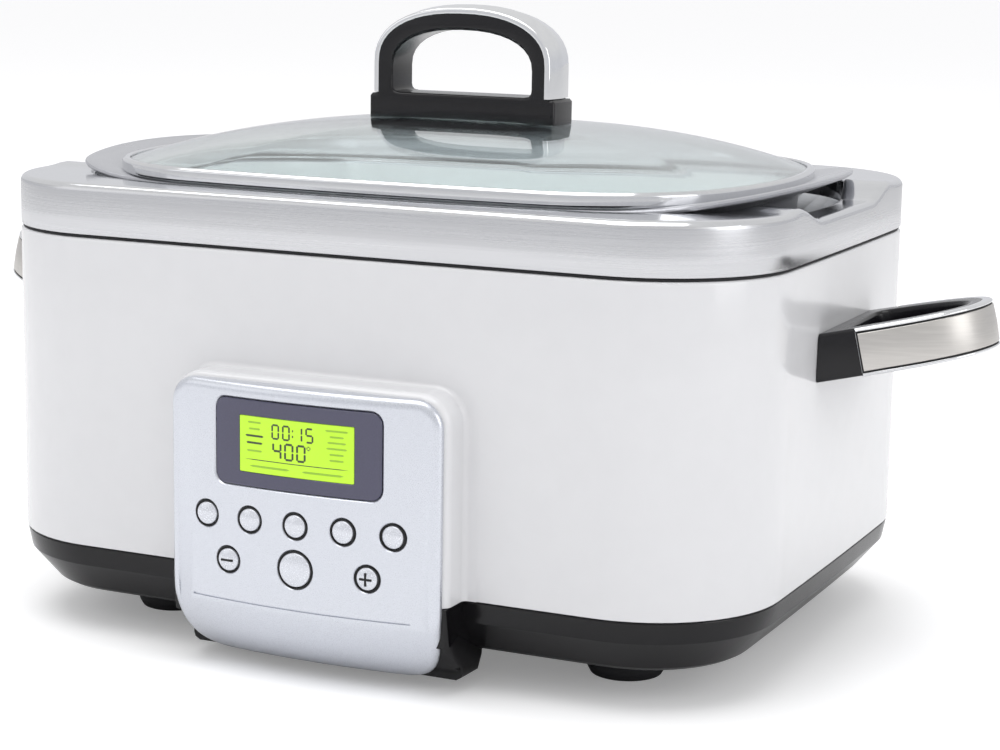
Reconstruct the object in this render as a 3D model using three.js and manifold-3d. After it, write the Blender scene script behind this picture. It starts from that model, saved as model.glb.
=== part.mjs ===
// A family-size slow cooker: a painted housing on a black base, a stainless rim,
// a lift-out pot with two ears, a domed glass lid, and a bowed control panel.
// Millimetres, +Z up, the front faces -Y, the feet stand on z = 0.
import * as THREE from "three";
import { mergeVertices } from "three/addons/utils/BufferGeometryUtils.js";
import Module from "manifold-3d";

const wasm = await Module();
wasm.setup();

// ---- driving dimensions ----------------------------------------------------

const GAP = 0.3; // clearance between faces that touch
const ROUND = 24; // sides of a small round part

// body seen from above: half sizes, corner radius, and the slight bow of its walls
const BODY = { halfX: 186, halfY: 139.7, corner: 61, bowX: 5600, bowY: 17300 };
const DECK = { endWidth: 13.4, sideWidth: 21.7 }; // steel left between the body's outline and the mouth
const MOUTH = {
  halfX: BODY.halfX - DECK.endWidth, halfY: BODY.halfY - DECK.sideWidth, corner: 62, bowX: 225, bowY: 1050 };
const LID = {
  halfX: MOUTH.halfX - 13.4, halfY: MOUTH.halfY - 2.1, corner: 73.5, bowX: 207.6, bowY: 1038 };

const FOOT_HEIGHT = 16;
const FOOT_RADIUS = 17.5;
const FOOT_INSET_X = 70; // foot centre to the body's side
const FOOT_INSET_Y = 63.7; // foot centre to the body's front or back
const BASE_HEIGHT = 25;
const baseTop = FOOT_HEIGHT + BASE_HEIGHT; // heights on the housing are measured from here
const BASE_TAPER = 14.3; // how far the base draws in at its underside
const HOUSING_HEIGHT = 140.6;
const BAND_HEIGHT = 22.5;
const SEAM = 1.4; // dark line between the housing and the rim
const WALL = 2.5; // moulded walls
const SHEET = 1.2; // pressed metal
const SCOOP_DEPTH = 5.6; // dip of the rim under each ear of the pot
const SCOOP_FLAT = 39; // half length of the level part of the dip
const SCOOP_RAMP = 30; // length of each ramp beside it

const POT_WALL = 2.5;
const POT_BOTTOM_Z = baseTop + 15;
const POT_TOP_INSET = 8; // pot wall inside the lid's outline, at its top
const POT_FOOT_INSET = 19; // and just above its bottom corner
const EAR_REACH = 18; // how far an ear stands out past the lid
const EAR_RISE = 8.5;
const EAR_DROOP = 0.0005; // how an ear falls away to its corners
const EAR_START_X = LID.halfX - 43.2;
const EAR_FULL_X = LID.halfX - 12.2;

const LID_RIM_HEIGHT = 6.6;
const GLASS = 4;
const DOME_RISE = 21;
const DOME_POWER = 2.7;
const DOME_EDGE = 0.955;

const KNOB = { halfX: 47.6, halfY: 11.2, footHeight: 13, archHalfX: 44.3, rise: 52 };
const KNOB_HOLE = { post: 11, bar: 9.2, sill: 0.8 }; // what is left beside, over and under its opening
const STRAP = 2.2;
const STRAP_HALF_Y = 9.2;
const LID_SCREW_X = 34;
const LID_SCREW_HEAD = 5.5;

const POD = { halfX: 66.8, depth: 16, top: baseTop + 90, corner: 14 }; // the box that carries the panel
const PANEL = { halfX: 65.4, top: POD.top - 1.8, bottom: 5.6, sheet: 2.4, bow: 6.5, proud: 3, corner: 12 };
const CHIN = { start: baseTop - 8, lean: 4.5, bend: 13, depth: 19 }; // how the panel curves back under the body
const GROOVE = { z: CHIN.start + 0.9, halfX: 52.7, height: 0.9, depth: 0.8 };
const BEZEL = { halfX: 39.9, bottom: baseTop + 44.5, top: baseTop + 81.8, corner: 5 };
const SCREEN = { halfX: 27.6, bottom: BEZEL.bottom + 6.1, top: BEZEL.top - 6.7 };
const KEY_RADIUS = 4.9;
const START_RADIUS = 7.4;
const KEY_RING = 1.0; // black collar round each button
const KEY_PITCH = 22.4;
const KEY_ROW_Z = BEZEL.bottom - 14.6;
const LOWER_ROW_Z = KEY_ROW_Z - 18.9;
const PLUS_X = 33.5;
const KEY_TRAVEL = 1;
const KEY_PROUD = 0.9;

const HANDLE = { z: baseTop + 98.7, height: 20.8, reach: 66.2, halfY: 41, tilt: 13, block: 14 };
const GRIP_HOLE = { from: 10, bar: 8.5, halfY: 27, corner: 5 }; // the finger opening of a side handle
const HANDLE_PLATE = 1.5;
const HANDLE_SCREW_Y = 26;
const SCREW = { shank: 1.9, head: 3.6, headHeight: 2.2 };

const GLAND = { x: 74 - BODY.halfX, z: baseTop + 21, radius: 6.5, bore: 3.8, flange: 10, proud: 9 };
const VENT = { count: 4, height: 2.8, pitch: 5.6, z: baseTop + 103, fromX: BODY.halfX - 74, toX: BODY.halfX - 14 };
const SENSOR_RADIUS = 9;
const BASE_SLOT = { pitch: 14, width: 4, length: 35, inset: 34.7 }; // inset: from the back of the body
const ELEMENT = { halfX: LID.halfX - 67.2, halfY: LID.halfY - 57.9, radius: 3.6 };

// ---- heights that follow ----------------------------------------------------

const housingBottom = baseTop + GAP;
const housingTop = housingBottom + HOUSING_HEIGHT;
const bandBottom = housingTop + SEAM;
const rimTop = bandBottom + BAND_HEIGHT;
const lidBottom = rimTop + GAP;
const lidTop = lidBottom + LID_RIM_HEIGHT;
const glassEdgeTop = lidTop - SHEET - GAP;
const domeTop = glassEdgeTop + DOME_RISE;
const potRimTop = lidBottom - 0.5;
const wellFloor = POT_BOTTOM_Z - POT_WALL - GAP;
const podFront = -BODY.halfY - POD.depth;
const panelEdge = podFront - PANEL.proud;
const panelFront = panelEdge - PANEL.bow;
const panelBack = panelEdge + CHIN.depth + 0.5;
const podFootBack = -BODY.halfY + BASE_TAPER + 8;

// ---- outlines and solids ------------------------------------------------------

const SEGMENTS = { side: 8, corner: 6, front: 4 };

// A closed outline of four shallow arcs and four corner arcs, as points with outward normals.
function outline({ halfX, halfY, corner, bowX, bowY }) {
  const end = new THREE.Vector2(halfX - bowX, 0);
  const face = new THREE.Vector2(0, halfY - bowY);
  const endReach = bowX - corner;
  const faceReach = bowY - corner;
  const apart = end.distanceTo(face);
  const along = (faceReach ** 2 - endReach ** 2 + apart ** 2) / (2 * apart);
  const across = Math.sqrt(Math.max(faceReach ** 2 - along ** 2, 0));
  const toEnd = end.clone().sub(face).normalize();
  const middle = face.clone().addScaledVector(toEnd, along);
  const side = new THREE.Vector2(-toEnd.y, toEnd.x);
  const first = middle.clone().addScaledVector(side, across);
  const second = middle.clone().addScaledVector(side, -across);
  const centre = first.x + first.y > second.x + second.y ? first : second;
  const low = Math.atan2(centre.y - end.y, centre.x - end.x);
  const high = Math.atan2(centre.y - face.y, centre.x - face.x);
  const points = [];
  const arc = (x, y, radius, from, to, steps) => {
    for (let i = 0; i < steps; i++) {
      const a = from + ((to - from) * i) / steps;
      const nx = Math.cos(a);
      const ny = Math.sin(a);
      points.push({ x: x + radius * nx, y: y + radius * ny, nx, ny });
    }
  };
  const half = Math.PI;
  arc(end.x, 0, bowX, -low, low, SEGMENTS.side);
  arc(centre.x, centre.y, corner, low, high, SEGMENTS.corner);
  arc(0, face.y, bowY, high, half - high, SEGMENTS.front);
  arc(-centre.x, centre.y, corner, half - high, half - low, SEGMENTS.corner);
  arc(-end.x, 0, bowX, half - low, half + low, SEGMENTS.side);
  arc(-centre.x, -centre.y, corner, half + low, half + high, SEGMENTS.corner);
  arc(0, -face.y, bowY, half + high, 2 * half - high, SEGMENTS.front);
  arc(centre.x, -centre.y, corner, 2 * half - high, 2 * half - low, SEGMENTS.corner);
  return points;
}

const bodyLine = outline(BODY);
const lidLine = outline(LID);
const mouthLine = outline(MOUTH);

// One ring of points: an outline drawn in by an inset, at one height.
function ring(line, inset, z) {
  return line.map((p) => new THREE.Vector3(p.x - inset * p.nx, p.y - inset * p.ny, z));
}

// One ring part of the way from one outline to another.
function between(from, to, share, z) {
  return from.map((p, i) => {
    const q = to[i];
    return new THREE.Vector3(p.x + (q.x - p.x) * share, p.y + (q.y - p.y) * share, z);
  });
}

// A surface through rings of equal length: a closed loop of rings, or a stack whose ends are capped.
function loft(rings, looped) {
  const count = rings[0].length;
  const positions = [];
  rings.forEach((points) => points.forEach((p) => positions.push(p.x, p.y, p.z)));
  const index = [];
  const rows = looped ? rings.length : rings.length - 1;
  for (let r = 0; r < rows; r++) {
    const a = r * count;
    const b = ((r + 1) % rings.length) * count;
    for (let i = 0; i < count; i++) {
      const j = (i + 1) % count;
      index.push(a + i, a + j, b + j, a + i, b + j, b + i);
    }
  }
  const cap = (points, start, flip) => {
    const middle = points.reduce((sum, p) => sum.add(p), new THREE.Vector3()).divideScalar(count);
    const hub = positions.length / 3;
    positions.push(middle.x, middle.y, middle.z);
    for (let i = 0; i < count; i++) {
      const j = (i + 1) % count;
      index.push(hub, start + (flip ? j : i), start + (flip ? i : j));
    }
  };
  if (!looped) {
    cap(rings[0], 0, true);
    cap(rings[rings.length - 1], (rings.length - 1) * count, false);
  }
  const geometry = new THREE.BufferGeometry();
  geometry.setAttribute("position", new THREE.Float32BufferAttribute(positions, 3));
  geometry.setIndex(index);
  return solid(geometry);
}

// A manifold solid from a closed three.js geometry, turned to face outwards.
function solid(source) {
  const geometry = source.clone();
  geometry.deleteAttribute("normal");
  geometry.deleteAttribute("uv");
  const merged = mergeVertices(geometry, 1e-4);
  const at = merged.attributes.position.array;
  const kept = [];
  let volume = 0;
  for (let i = 0; i < merged.index.count; i += 3) {
    const [a, b, c] = [0, 1, 2].map((k) => merged.index.getX(i + k));
    if (a === b || b === c || c === a) continue;
    kept.push(a, b, c);
    const [p, q, r] = [a, b, c].map((k) => new THREE.Vector3().fromArray(at, 3 * k));
    volume += p.dot(q.cross(r));
  }
  if (volume < 0) kept.reverse();
  const mesh = new wasm.Mesh({
    numProp: 3,
    vertProperties: new Float32Array(at),
    triVerts: new Uint32Array(kept),
  });
  return new wasm.Manifold(mesh);
}

const cut = (piece, ...tools) => tools.reduce((rest, tool) => rest.subtract(tool), piece);
const join = (first, ...others) => others.reduce((sum, other) => sum.add(other), first);
const common = (first, ...others) => others.reduce((rest, other) => rest.intersect(other), first);

// Prisms: a shape drawn in XY, XZ or YZ and pushed out along the axis that is left.
function prismZ(shape, from, to, curveSegments = 8) {
  const geometry = new THREE.ExtrudeGeometry(shape, { depth: to - from, bevelEnabled: false, curveSegments });
  return solid(geometry.translate(0, 0, from));
}

function prismY(shape, from, to, curveSegments = 8) {
  const geometry = new THREE.ExtrudeGeometry(shape, { depth: to - from, bevelEnabled: false, curveSegments });
  return solid(geometry.rotateX(Math.PI / 2).translate(0, to, 0));
}

function prismX(shape, from, to, curveSegments = 8) {
  const geometry = new THREE.ExtrudeGeometry(shape, { depth: to - from, bevelEnabled: false, curveSegments });
  const turn = new THREE.Matrix4().makeBasis(
    new THREE.Vector3(0, 1, 0), new THREE.Vector3(0, 0, 1), new THREE.Vector3(1, 0, 0));
  return solid(geometry.applyMatrix4(turn).translate(from, 0, 0));
}

function box(x0, x1, y0, y1, z0, z1) {
  const geometry = new THREE.BoxGeometry(x1 - x0, y1 - y0, z1 - z0);
  return solid(geometry.translate((x0 + x1) / 2, (y0 + y1) / 2, (z0 + z1) / 2));
}

// Round parts turned about an upright axis from a profile of [radius, height] pairs.
function turned(profile, x, y, sides = ROUND) {
  const points = profile.map(([radius, height]) => new THREE.Vector2(radius, height));
  const geometry = new THREE.LatheGeometry(points, sides);
  return solid(geometry.rotateX(Math.PI / 2).translate(x, y, 0));
}

function rod(radius, x, y, z0, z1, sides = ROUND) {
  return turned([[0, z0], [radius, z0], [radius, z1], [0, z1]], x, y, sides);
}

// The same, lying along Y or X.
function turnedY(profile, x, z, sides = ROUND) {
  const points = profile.map(([radius, along]) => new THREE.Vector2(radius, along));
  return solid(new THREE.LatheGeometry(points, sides).translate(x, 0, z));
}

function turnedX(profile, y, z, sides = ROUND) {
  const points = profile.map(([radius, along]) => new THREE.Vector2(radius, along));
  return solid(new THREE.LatheGeometry(points, sides).rotateZ(-Math.PI / 2).translate(0, y, z));
}

function roundedRect(x0, x1, y0, y1, radius) {
  const shape = new THREE.Shape();
  shape.moveTo(x0 + radius, y0);
  shape.lineTo(x1 - radius, y0);
  shape.absarc(x1 - radius, y0 + radius, radius, -Math.PI / 2, 0);
  shape.lineTo(x1, y1 - radius);
  shape.absarc(x1 - radius, y1 - radius, radius, 0, Math.PI / 2);
  shape.lineTo(x0 + radius, y1);
  shape.absarc(x0 + radius, y1 - radius, radius, Math.PI / 2, Math.PI);
  shape.lineTo(x0, y0 + radius);
  shape.absarc(x0 + radius, y0 + radius, radius, Math.PI, 1.5 * Math.PI);
  return shape;
}

function polygon(points) {
  return new THREE.Shape(points.map(([x, y]) => new THREE.Vector2(x, y)));
}

const smooth = (value, from, to) => THREE.MathUtils.smoothstep(value, from, to);

// ---- the finished group ---------------------------------------------------------

const cooker = new THREE.Group();

const finishes = {
  white: { color: 0xe4e4e6, roughness: 0.25, metalness: 0 },
  steel: { color: 0xd0d0d2, roughness: 0.35, metalness: 1 },
  chrome: { color: 0xe8e8ea, roughness: 0.08, metalness: 1 },
  silver: { color: 0xcfd3dc, roughness: 0.3, metalness: 0.8 },
  aluminium: { color: 0xb8babd, roughness: 0.45, metalness: 1 },
  black: { color: 0x1a191c, roughness: 0.3, metalness: 0 },
  handle: { color: 0x2e2d33, roughness: 0.45, metalness: 0 },
  rubber: { color: 0x202023, roughness: 0.8, metalness: 0 },
  slate: { color: 0x46455a, roughness: 0.25, metalness: 0 },
  screen: { color: 0xb5e61d, roughness: 0.2, metalness: 0 },
  board: { color: 0x2f6b3a, roughness: 0.6, metalness: 0 },
  glass: { color: 0xdde6e8, roughness: 0.05, metalness: 0, transparent: true, opacity: 0.4 },
  pot: { color: 0x9a9aa0, roughness: 0.4, metalness: 0.5 },
  fleece: { color: 0xe6e2d6, roughness: 0.95, metalness: 0 },
};

function add(name, piece, finish) {
  const { vertProperties, triVerts } = piece.getMesh();
  const geometry = new THREE.BufferGeometry();
  geometry.setAttribute("position", new THREE.Float32BufferAttribute(Array.from(vertProperties), 3));
  geometry.setIndex(Array.from(triVerts));
  const mesh = new THREE.Mesh(geometry, new THREE.MeshStandardMaterial(finishes[finish]));
  mesh.name = name;
  cooker.add(mesh);
}

// ---- housing, base and rim --------------------------------------------------------

// The pod's outline from the front: square at the bottom, rounded at its top corners.
function podOutline(inset, bottom) {
  const half = POD.halfX - inset;
  const top = POD.top - inset;
  const radius = POD.corner - inset;
  const shape = new THREE.Shape();
  shape.moveTo(-half, bottom);
  shape.lineTo(half, bottom);
  shape.lineTo(half, top - radius);
  shape.absarc(half - radius, top - radius, radius, 0, Math.PI / 2);
  shape.lineTo(-half + radius, top);
  shape.absarc(-half + radius, top - radius, radius, Math.PI / 2, Math.PI);
  return shape;
}

function outerHousing() {
  const upstand = 4.4;
  const shell = loft([
    ring(bodyLine, 0, housingBottom),
    ring(bodyLine, 0, housingTop - 0.6),
    ring(bodyLine, 0.6, housingTop),
    ring(bodyLine, 2, housingTop),
    ring(bodyLine, 2, housingTop + upstand),
    ring(bodyLine, 3.6, housingTop + upstand),
    ring(bodyLine, 3.6, housingTop - 2),
    ring(bodyLine, WALL, housingTop - 4),
    ring(bodyLine, WALL, housingBottom),
  ], true);
  const inside = -BODY.halfY + WALL;
  const pod = prismY(podOutline(0, housingBottom), podFront, inside, 4);
  const hollow = prismY(podOutline(WALL, housingBottom - 1), podFront - 1, inside + 2, 4);
  const slots = [];
  for (let i = 0; i < VENT.count; i++) {
    const z = VENT.z + i * VENT.pitch;
    const extent = [BODY.halfY - BODY.corner, BODY.halfY + 1, z, z + VENT.height];
    slots.push(box(VENT.fromX, VENT.toX, ...extent));
    slots.push(box(-VENT.toX, -VENT.fromX, ...extent));
  }
  const wallHole = turnedY([
    [0, BODY.halfY - 8], [GLAND.radius + GAP, BODY.halfY - 8],
    [GLAND.radius + GAP, BODY.halfY + 8], [0, BODY.halfY + 8]], GLAND.x, GLAND.z);
  const reach = BODY.halfX + 8;
  const hole = SCREW.shank + GAP;
  const bores = [-HANDLE_SCREW_Y, HANDLE_SCREW_Y].map((y) => turnedX([
    [0, -reach], [hole, -reach], [hole, reach], [0, reach]], y, HANDLE.z, 12));
  return cut(join(shell, pod), hollow, wallHole, ...slots, ...bores);
}

function rimGasket() {
  const low = housingTop + GAP;
  const high = bandBottom - GAP;
  return loft([
    ring(bodyLine, 0.9, low), ring(bodyLine, 0.9, high),
    ring(bodyLine, 1.7, high), ring(bodyLine, 1.7, low)], true);
}

// The rim dips at both ends, so that fingers reach under the ears of the pot.
function dipped(points) {
  return points.map((p) => {
    const level = 1 - smooth(Math.abs(p.y), SCOOP_FLAT, SCOOP_FLAT + SCOOP_RAMP);
    const end = smooth(Math.abs(p.x), LID.halfX * 0.75, LID.halfX * 0.85);
    return new THREE.Vector3(p.x, p.y, p.z - SCOOP_DEPTH * level * end);
  });
}

function rimBand() {
  const roll = 3;
  const lipBottom = rimTop - SCOOP_DEPTH - 5;
  const top = (share, z) => dipped(between(bodyLine, mouthLine, share, z));
  const under = rimTop - SHEET;
  return loft([
    ring(bodyLine, 0, bandBottom),
    dipped(ring(bodyLine, 0, rimTop - roll)),
    dipped(ring(bodyLine, roll * 0.3, rimTop - roll * 0.3)),
    dipped(ring(bodyLine, roll, rimTop)),
    top(0.6, rimTop),
    dipped(ring(mouthLine, -1.5, rimTop)),
    dipped(ring(mouthLine, 0, rimTop - 1.5)),
    ring(mouthLine, 0, lipBottom),
    ring(mouthLine, -SHEET, lipBottom),
    dipped(ring(mouthLine, -SHEET, rimTop - 2.2)),
    dipped(ring(mouthLine, -SHEET - 0.6, under)),
    top(0.6, under),
    dipped(ring(bodyLine, roll + 0.2, under)),
    dipped(ring(bodyLine, SHEET, rimTop - roll)),
    ring(bodyLine, SHEET, bandBottom),
  ], true);
}

// The front of the panel from the side: upright, then a chin that curves back to its bottom edge.
const chin = new THREE.QuadraticBezierCurve(
  new THREE.Vector2(0, CHIN.start), new THREE.Vector2(CHIN.lean, CHIN.bend),
  new THREE.Vector2(CHIN.depth, PANEL.bottom));

function chinPoints(front, inset) {
  const points = [];
  for (let i = 0; i <= 6; i++) {
    const at = chin.getPoint(i / 6);
    const tangent = chin.getTangent(i / 6);
    points.push([front + at.x - inset * tangent.y, at.y + inset * tangent.x]);
  }
  return points;
}

// How far forward the bowed panel stands at a given place across it.
function panelFace(x) {
  return panelEdge - PANEL.bow * (1 - (x / PANEL.halfX) ** 2);
}

// The panel from the front: round at the top corners, drawn in towards the bottom.
function panelOutline(half, top, bottom, radius) {
  const shape = new THREE.Shape();
  const hip = bottom + 40;
  shape.moveTo(-half + 24, bottom);
  shape.lineTo(half - 24, bottom);
  shape.bezierCurveTo(half - 6, bottom, half, bottom + 20, half, hip);
  shape.lineTo(half, top - radius);
  shape.absarc(half - radius, top - radius, radius, 0, Math.PI / 2);
  shape.lineTo(-half + radius, top);
  shape.absarc(-half + radius, top - radius, radius, Math.PI / 2, Math.PI);
  shape.lineTo(-half, hip);
  shape.bezierCurveTo(-half, bottom + 20, -half + 6, bottom, -half + 24, bottom);
  return shape;
}

// The black foot that carries the pod down behind the panel's chin, drawn in by an inset.
function podFoot(inset, top) {
  const back = podFootBack - inset;
  const half = POD.halfX - inset;
  const shelf = panelBack + GAP + inset;
  const chinLine = chinPoints(panelEdge, PANEL.sheet + GAP + inset).filter(([y]) => y < shelf);
  const shelfTop = PANEL.bottom + PANEL.sheet + GAP + inset;
  const section = polygon([
    [panelEdge, top], ...chinLine.filter(([, z]) => z > shelfTop), [shelf, shelfTop],
    [shelf, PANEL.bottom + inset], [back - 4, PANEL.bottom + inset], [back, PANEL.bottom + 6 + inset],
    [back, top]]);
  const outline = panelOutline(half, POD.top, PANEL.bottom + inset, POD.corner);
  const behind = box(-half, half, podFront + inset, back, PANEL.bottom, top);
  return common(prismX(section, -half, half), prismY(outline, podFront, back), behind);
}

const footSpots = [[-1, -1], [1, -1], [-1, 1], [1, 1]].map(([sx, sy]) => [
  sx * (BODY.halfX - FOOT_INSET_X), sy * (BODY.halfY - FOOT_INSET_Y)]);

function basePan() {
  const floor = FOOT_HEIGHT + WALL;
  const shell = loft([
    ring(bodyLine, BASE_TAPER + 3.5, floor),
    ring(bodyLine, 2 + WALL, FOOT_HEIGHT + BASE_HEIGHT * 0.62),
    ring(bodyLine, 0.3 + WALL, baseTop),
    ring(bodyLine, 0.3, baseTop),
    ring(bodyLine, 2, FOOT_HEIGHT + BASE_HEIGHT * 0.62),
    ring(bodyLine, BASE_TAPER, FOOT_HEIGHT + 1.5),
    ring(bodyLine, BASE_TAPER + 1.5, FOOT_HEIGHT),
  ], false);
  const foot = podFoot(0, baseTop);
  const pocket = podFoot(WALL, baseTop + 1);
  const room = loft([
    ring(bodyLine, BASE_TAPER + 3.5, floor),
    ring(bodyLine, 2 + WALL, FOOT_HEIGHT + BASE_HEIGHT * 0.62),
    ring(bodyLine, 0.3 + WALL, baseTop + 1),
  ], false);
  const bosses = footSpots.map(([x, y]) => rod(6, x, y, floor - 1, floor + 9, 16));
  const holes = footSpots.map(([x, y]) => rod(SCREW.shank + GAP, x, y, FOOT_HEIGHT - 1, floor + 7, 12));
  const slots = [];
  const slotBack = BODY.halfY - BASE_SLOT.inset;
  for (let i = -3; i <= 3; i++) {
    const middle = i * BASE_SLOT.pitch;
    slots.push(box(
      middle - BASE_SLOT.width / 2, middle + BASE_SLOT.width / 2,
      slotBack - BASE_SLOT.length, slotBack, FOOT_HEIGHT - 1, floor + 1));
  }
  const hollowed = cut(join(shell, foot), room, pocket);
  return cut(join(hollowed, ...bosses), ...holes, ...slots);
}

function foot(x, y) {
  const top = FOOT_HEIGHT - GAP;
  const hole = SCREW.shank + GAP;
  const recess = SCREW.head + 1;
  return turned([
    [hole, 7], [hole, top], [FOOT_RADIUS + 1.5, top], [FOOT_RADIUS, 3], [FOOT_RADIUS - 1.5, 0],
    [recess, 0], [recess, 7], [hole, 7]], x, y);
}

function footScrew(x, y) {
  const seat = 7 - GAP;
  const tip = FOOT_HEIGHT + WALL + 6;
  return turned([
    [0, seat - SCREW.headHeight], [SCREW.head, seat - SCREW.headHeight], [SCREW.head, seat],
    [SCREW.shank, seat], [SCREW.shank, tip], [0, tip]], x, y, 12);
}

add("outer_housing", outerHousing(), "white");
add("rim_gasket", rimGasket(), "rubber");
add("rim_band", rimBand(), "steel");
add("base_pan", basePan(), "black");
footSpots.forEach(([x, y], i) => {
  const place = `${y < 0 ? "front" : "rear"}_${x < 0 ? "left" : "right"}`;
  add(`foot_${place}`, foot(x, y), "rubber");
  add(`foot_screw_${place}`, footScrew(x, y), "steel");
});

// ---- heating well and what is under it -------------------------------------------

const wellWallTop = rimTop - SCOOP_DEPTH - 5 - GAP;
const wellInset = POT_TOP_INSET - 4; // the pot stands 4 mm inside the well

function heatingWell() {
  const foot = POT_FOOT_INSET - 4;
  const tub = loft([
    ring(lidLine, foot + 12, wellFloor),
    ring(lidLine, foot + 3, wellFloor + 3),
    ring(lidLine, foot, wellFloor + 12),
    ring(lidLine, wellInset, wellWallTop - 18),
    ring(mouthLine, 0.5, wellWallTop),
    ring(mouthLine, -5, wellWallTop),
    ring(mouthLine, -5, wellWallTop - SHEET),
    ring(mouthLine, -0.6, wellWallTop - SHEET),
    ring(lidLine, wellInset - SHEET, wellWallTop - 19),
    ring(lidLine, foot - SHEET, wellFloor + 12),
    ring(lidLine, foot + 2.2, wellFloor + 2),
    ring(lidLine, foot + 12, wellFloor - SHEET),
  ], false);
  return cut(tub, rod(SENSOR_RADIUS + 1.5, 0, 0, wellFloor - 4, wellFloor + 4));
}

function insulation() {
  const foot = POT_FOOT_INSET - 4;
  const low = wellFloor + 16;
  const high = wellWallTop - 22;
  return loft([
    ring(lidLine, foot - SHEET - 1.5, low), ring(lidLine, wellInset - SHEET - 1.5, high),
    ring(lidLine, wellInset - SHEET - 7, high), ring(lidLine, foot - SHEET - 7, low)], true);
}

class ElementLoop extends THREE.Curve {
  // An open oval run of sheathed element, with its two ends at the back.
  getPoint(t, target = new THREE.Vector3()) {
    const a = Math.PI / 2 + 0.16 + t * (2 * Math.PI - 0.32);
    return target.set(ELEMENT.halfX * Math.cos(a), ELEMENT.halfY * Math.sin(a), wellFloor - SHEET - GAP - 4);
  }
}

function heatingElement() {
  const section = new THREE.Shape().absarc(0, 0, ELEMENT.radius, 0, 2 * Math.PI);
  const geometry = new THREE.ExtrudeGeometry(section, {
    steps: 36, curveSegments: 4, bevelEnabled: false, extrudePath: new ElementLoop() });
  return solid(geometry);
}

function thermalFuse() {
  const top = wellFloor - SHEET - GAP;
  return join(rod(5, 60, 0, top - 7, top, 16), box(52, 68, -2, 2, top - 4, top - 3));
}

const sensorTop = wellFloor - 0.1;
const sensorFoot = wellFloor - 12;

function temperatureSensor() {
  return turned([
    [0, sensorTop - 9], [SENSOR_RADIUS - 2, sensorTop - 9], [SENSOR_RADIUS - 2, sensorTop - 3],
    [SENSOR_RADIUS, sensorTop - 3], [SENSOR_RADIUS, sensorTop - 0.8], [SENSOR_RADIUS - 0.8, sensorTop],
    [0, sensorTop]], 0, 0);
}

class SpringPath extends THREE.Curve {
  getPoint(t, target = new THREE.Vector3()) {
    const a = t * 2 * Math.PI * 4;
    const low = sensorFoot - 9 + 1.1;
    const high = sensorTop - 9 - 1.1;
    return target.set(4.5 * Math.cos(a), 4.5 * Math.sin(a), low + (high - low) * t);
  }
}

function sensorSpring() {
  const section = new THREE.Shape().absarc(0, 0, 0.55, 0, 2 * Math.PI);
  const geometry = new THREE.ExtrudeGeometry(section, {
    steps: 32, curveSegments: 3, bevelEnabled: false, extrudePath: new SpringPath() });
  return solid(geometry);
}

function sensorCup() {
  const floor = sensorFoot - 9 - GAP;
  const rim = wellFloor - SHEET - GAP;
  const cup = rod(SENSOR_RADIUS + 2.6, 0, 0, floor - 1.5, rim);
  const bore = rod(SENSOR_RADIUS + 0.6, 0, 0, floor, rim + 1);
  const strap = box(-30, 30, -5, 5, rim - 1.5, rim);
  return cut(join(cup, strap), bore);
}

function powerBoard() {
  const z = FOOT_HEIGHT + WALL + 4;
  const board = box(-95, -25, -60, 20, z, z + 1.6);
  const relay = box(-88, -68, -52, -36, z + 1, z + 14);
  const transformer = box(-60, -32, -20, 8, z + 1, z + 17);
  const capacitor = rod(6, -78, 4, z + 1, z + 16, 16);
  return join(board, relay, transformer, capacitor);
}

add("heating_well", heatingWell(), "aluminium");
add("insulation_sleeve", insulation(), "fleece");
add("heating_element", heatingElement(), "steel");
add("thermal_fuse", thermalFuse(), "steel");
add("temperature_sensor", temperatureSensor(), "aluminium");
add("sensor_spring", sensorSpring(), "steel");
add("sensor_cup", sensorCup(), "aluminium");
add("power_board", powerBoard(), "board");

// ---- rear gland ---------------------------------------------------------------------

function cordGland() {
  const wall = BODY.halfY;
  return turnedY([
    [GLAND.bore, wall - 7], [GLAND.radius, wall - 7], [GLAND.radius, wall + GAP],
    [GLAND.flange, wall + GAP], [GLAND.flange, wall + 2.8], [GLAND.radius, wall + 4],
    [GLAND.radius - 0.8, wall + GLAND.proud], [GLAND.bore, wall + GLAND.proud],
    [GLAND.bore, wall - 7]], GLAND.x, GLAND.z);
}

add("cord_gland", cordGland(), "rubber");

// ---- pot ---------------------------------------------------------------------------

// An ear grows out of the pot's rim at each end, flares up and droops to its corners.
function earRing(inset, rise, z) {
  return lidLine.map((p) => {
    const share = 0.03 + 0.97 * smooth(Math.abs(p.x), EAR_START_X, EAR_FULL_X);
    const out = inset.rim + (inset.ear - inset.rim) * share;
    const x = p.x - out * p.nx;
    const y = p.y - out * p.ny;
    const lift = share * rise * Math.max(0, 1 - (EAR_DROOP / EAR_RISE) * y * y);
    return new THREE.Vector3(x, y, z + lift);
  });
}

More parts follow.
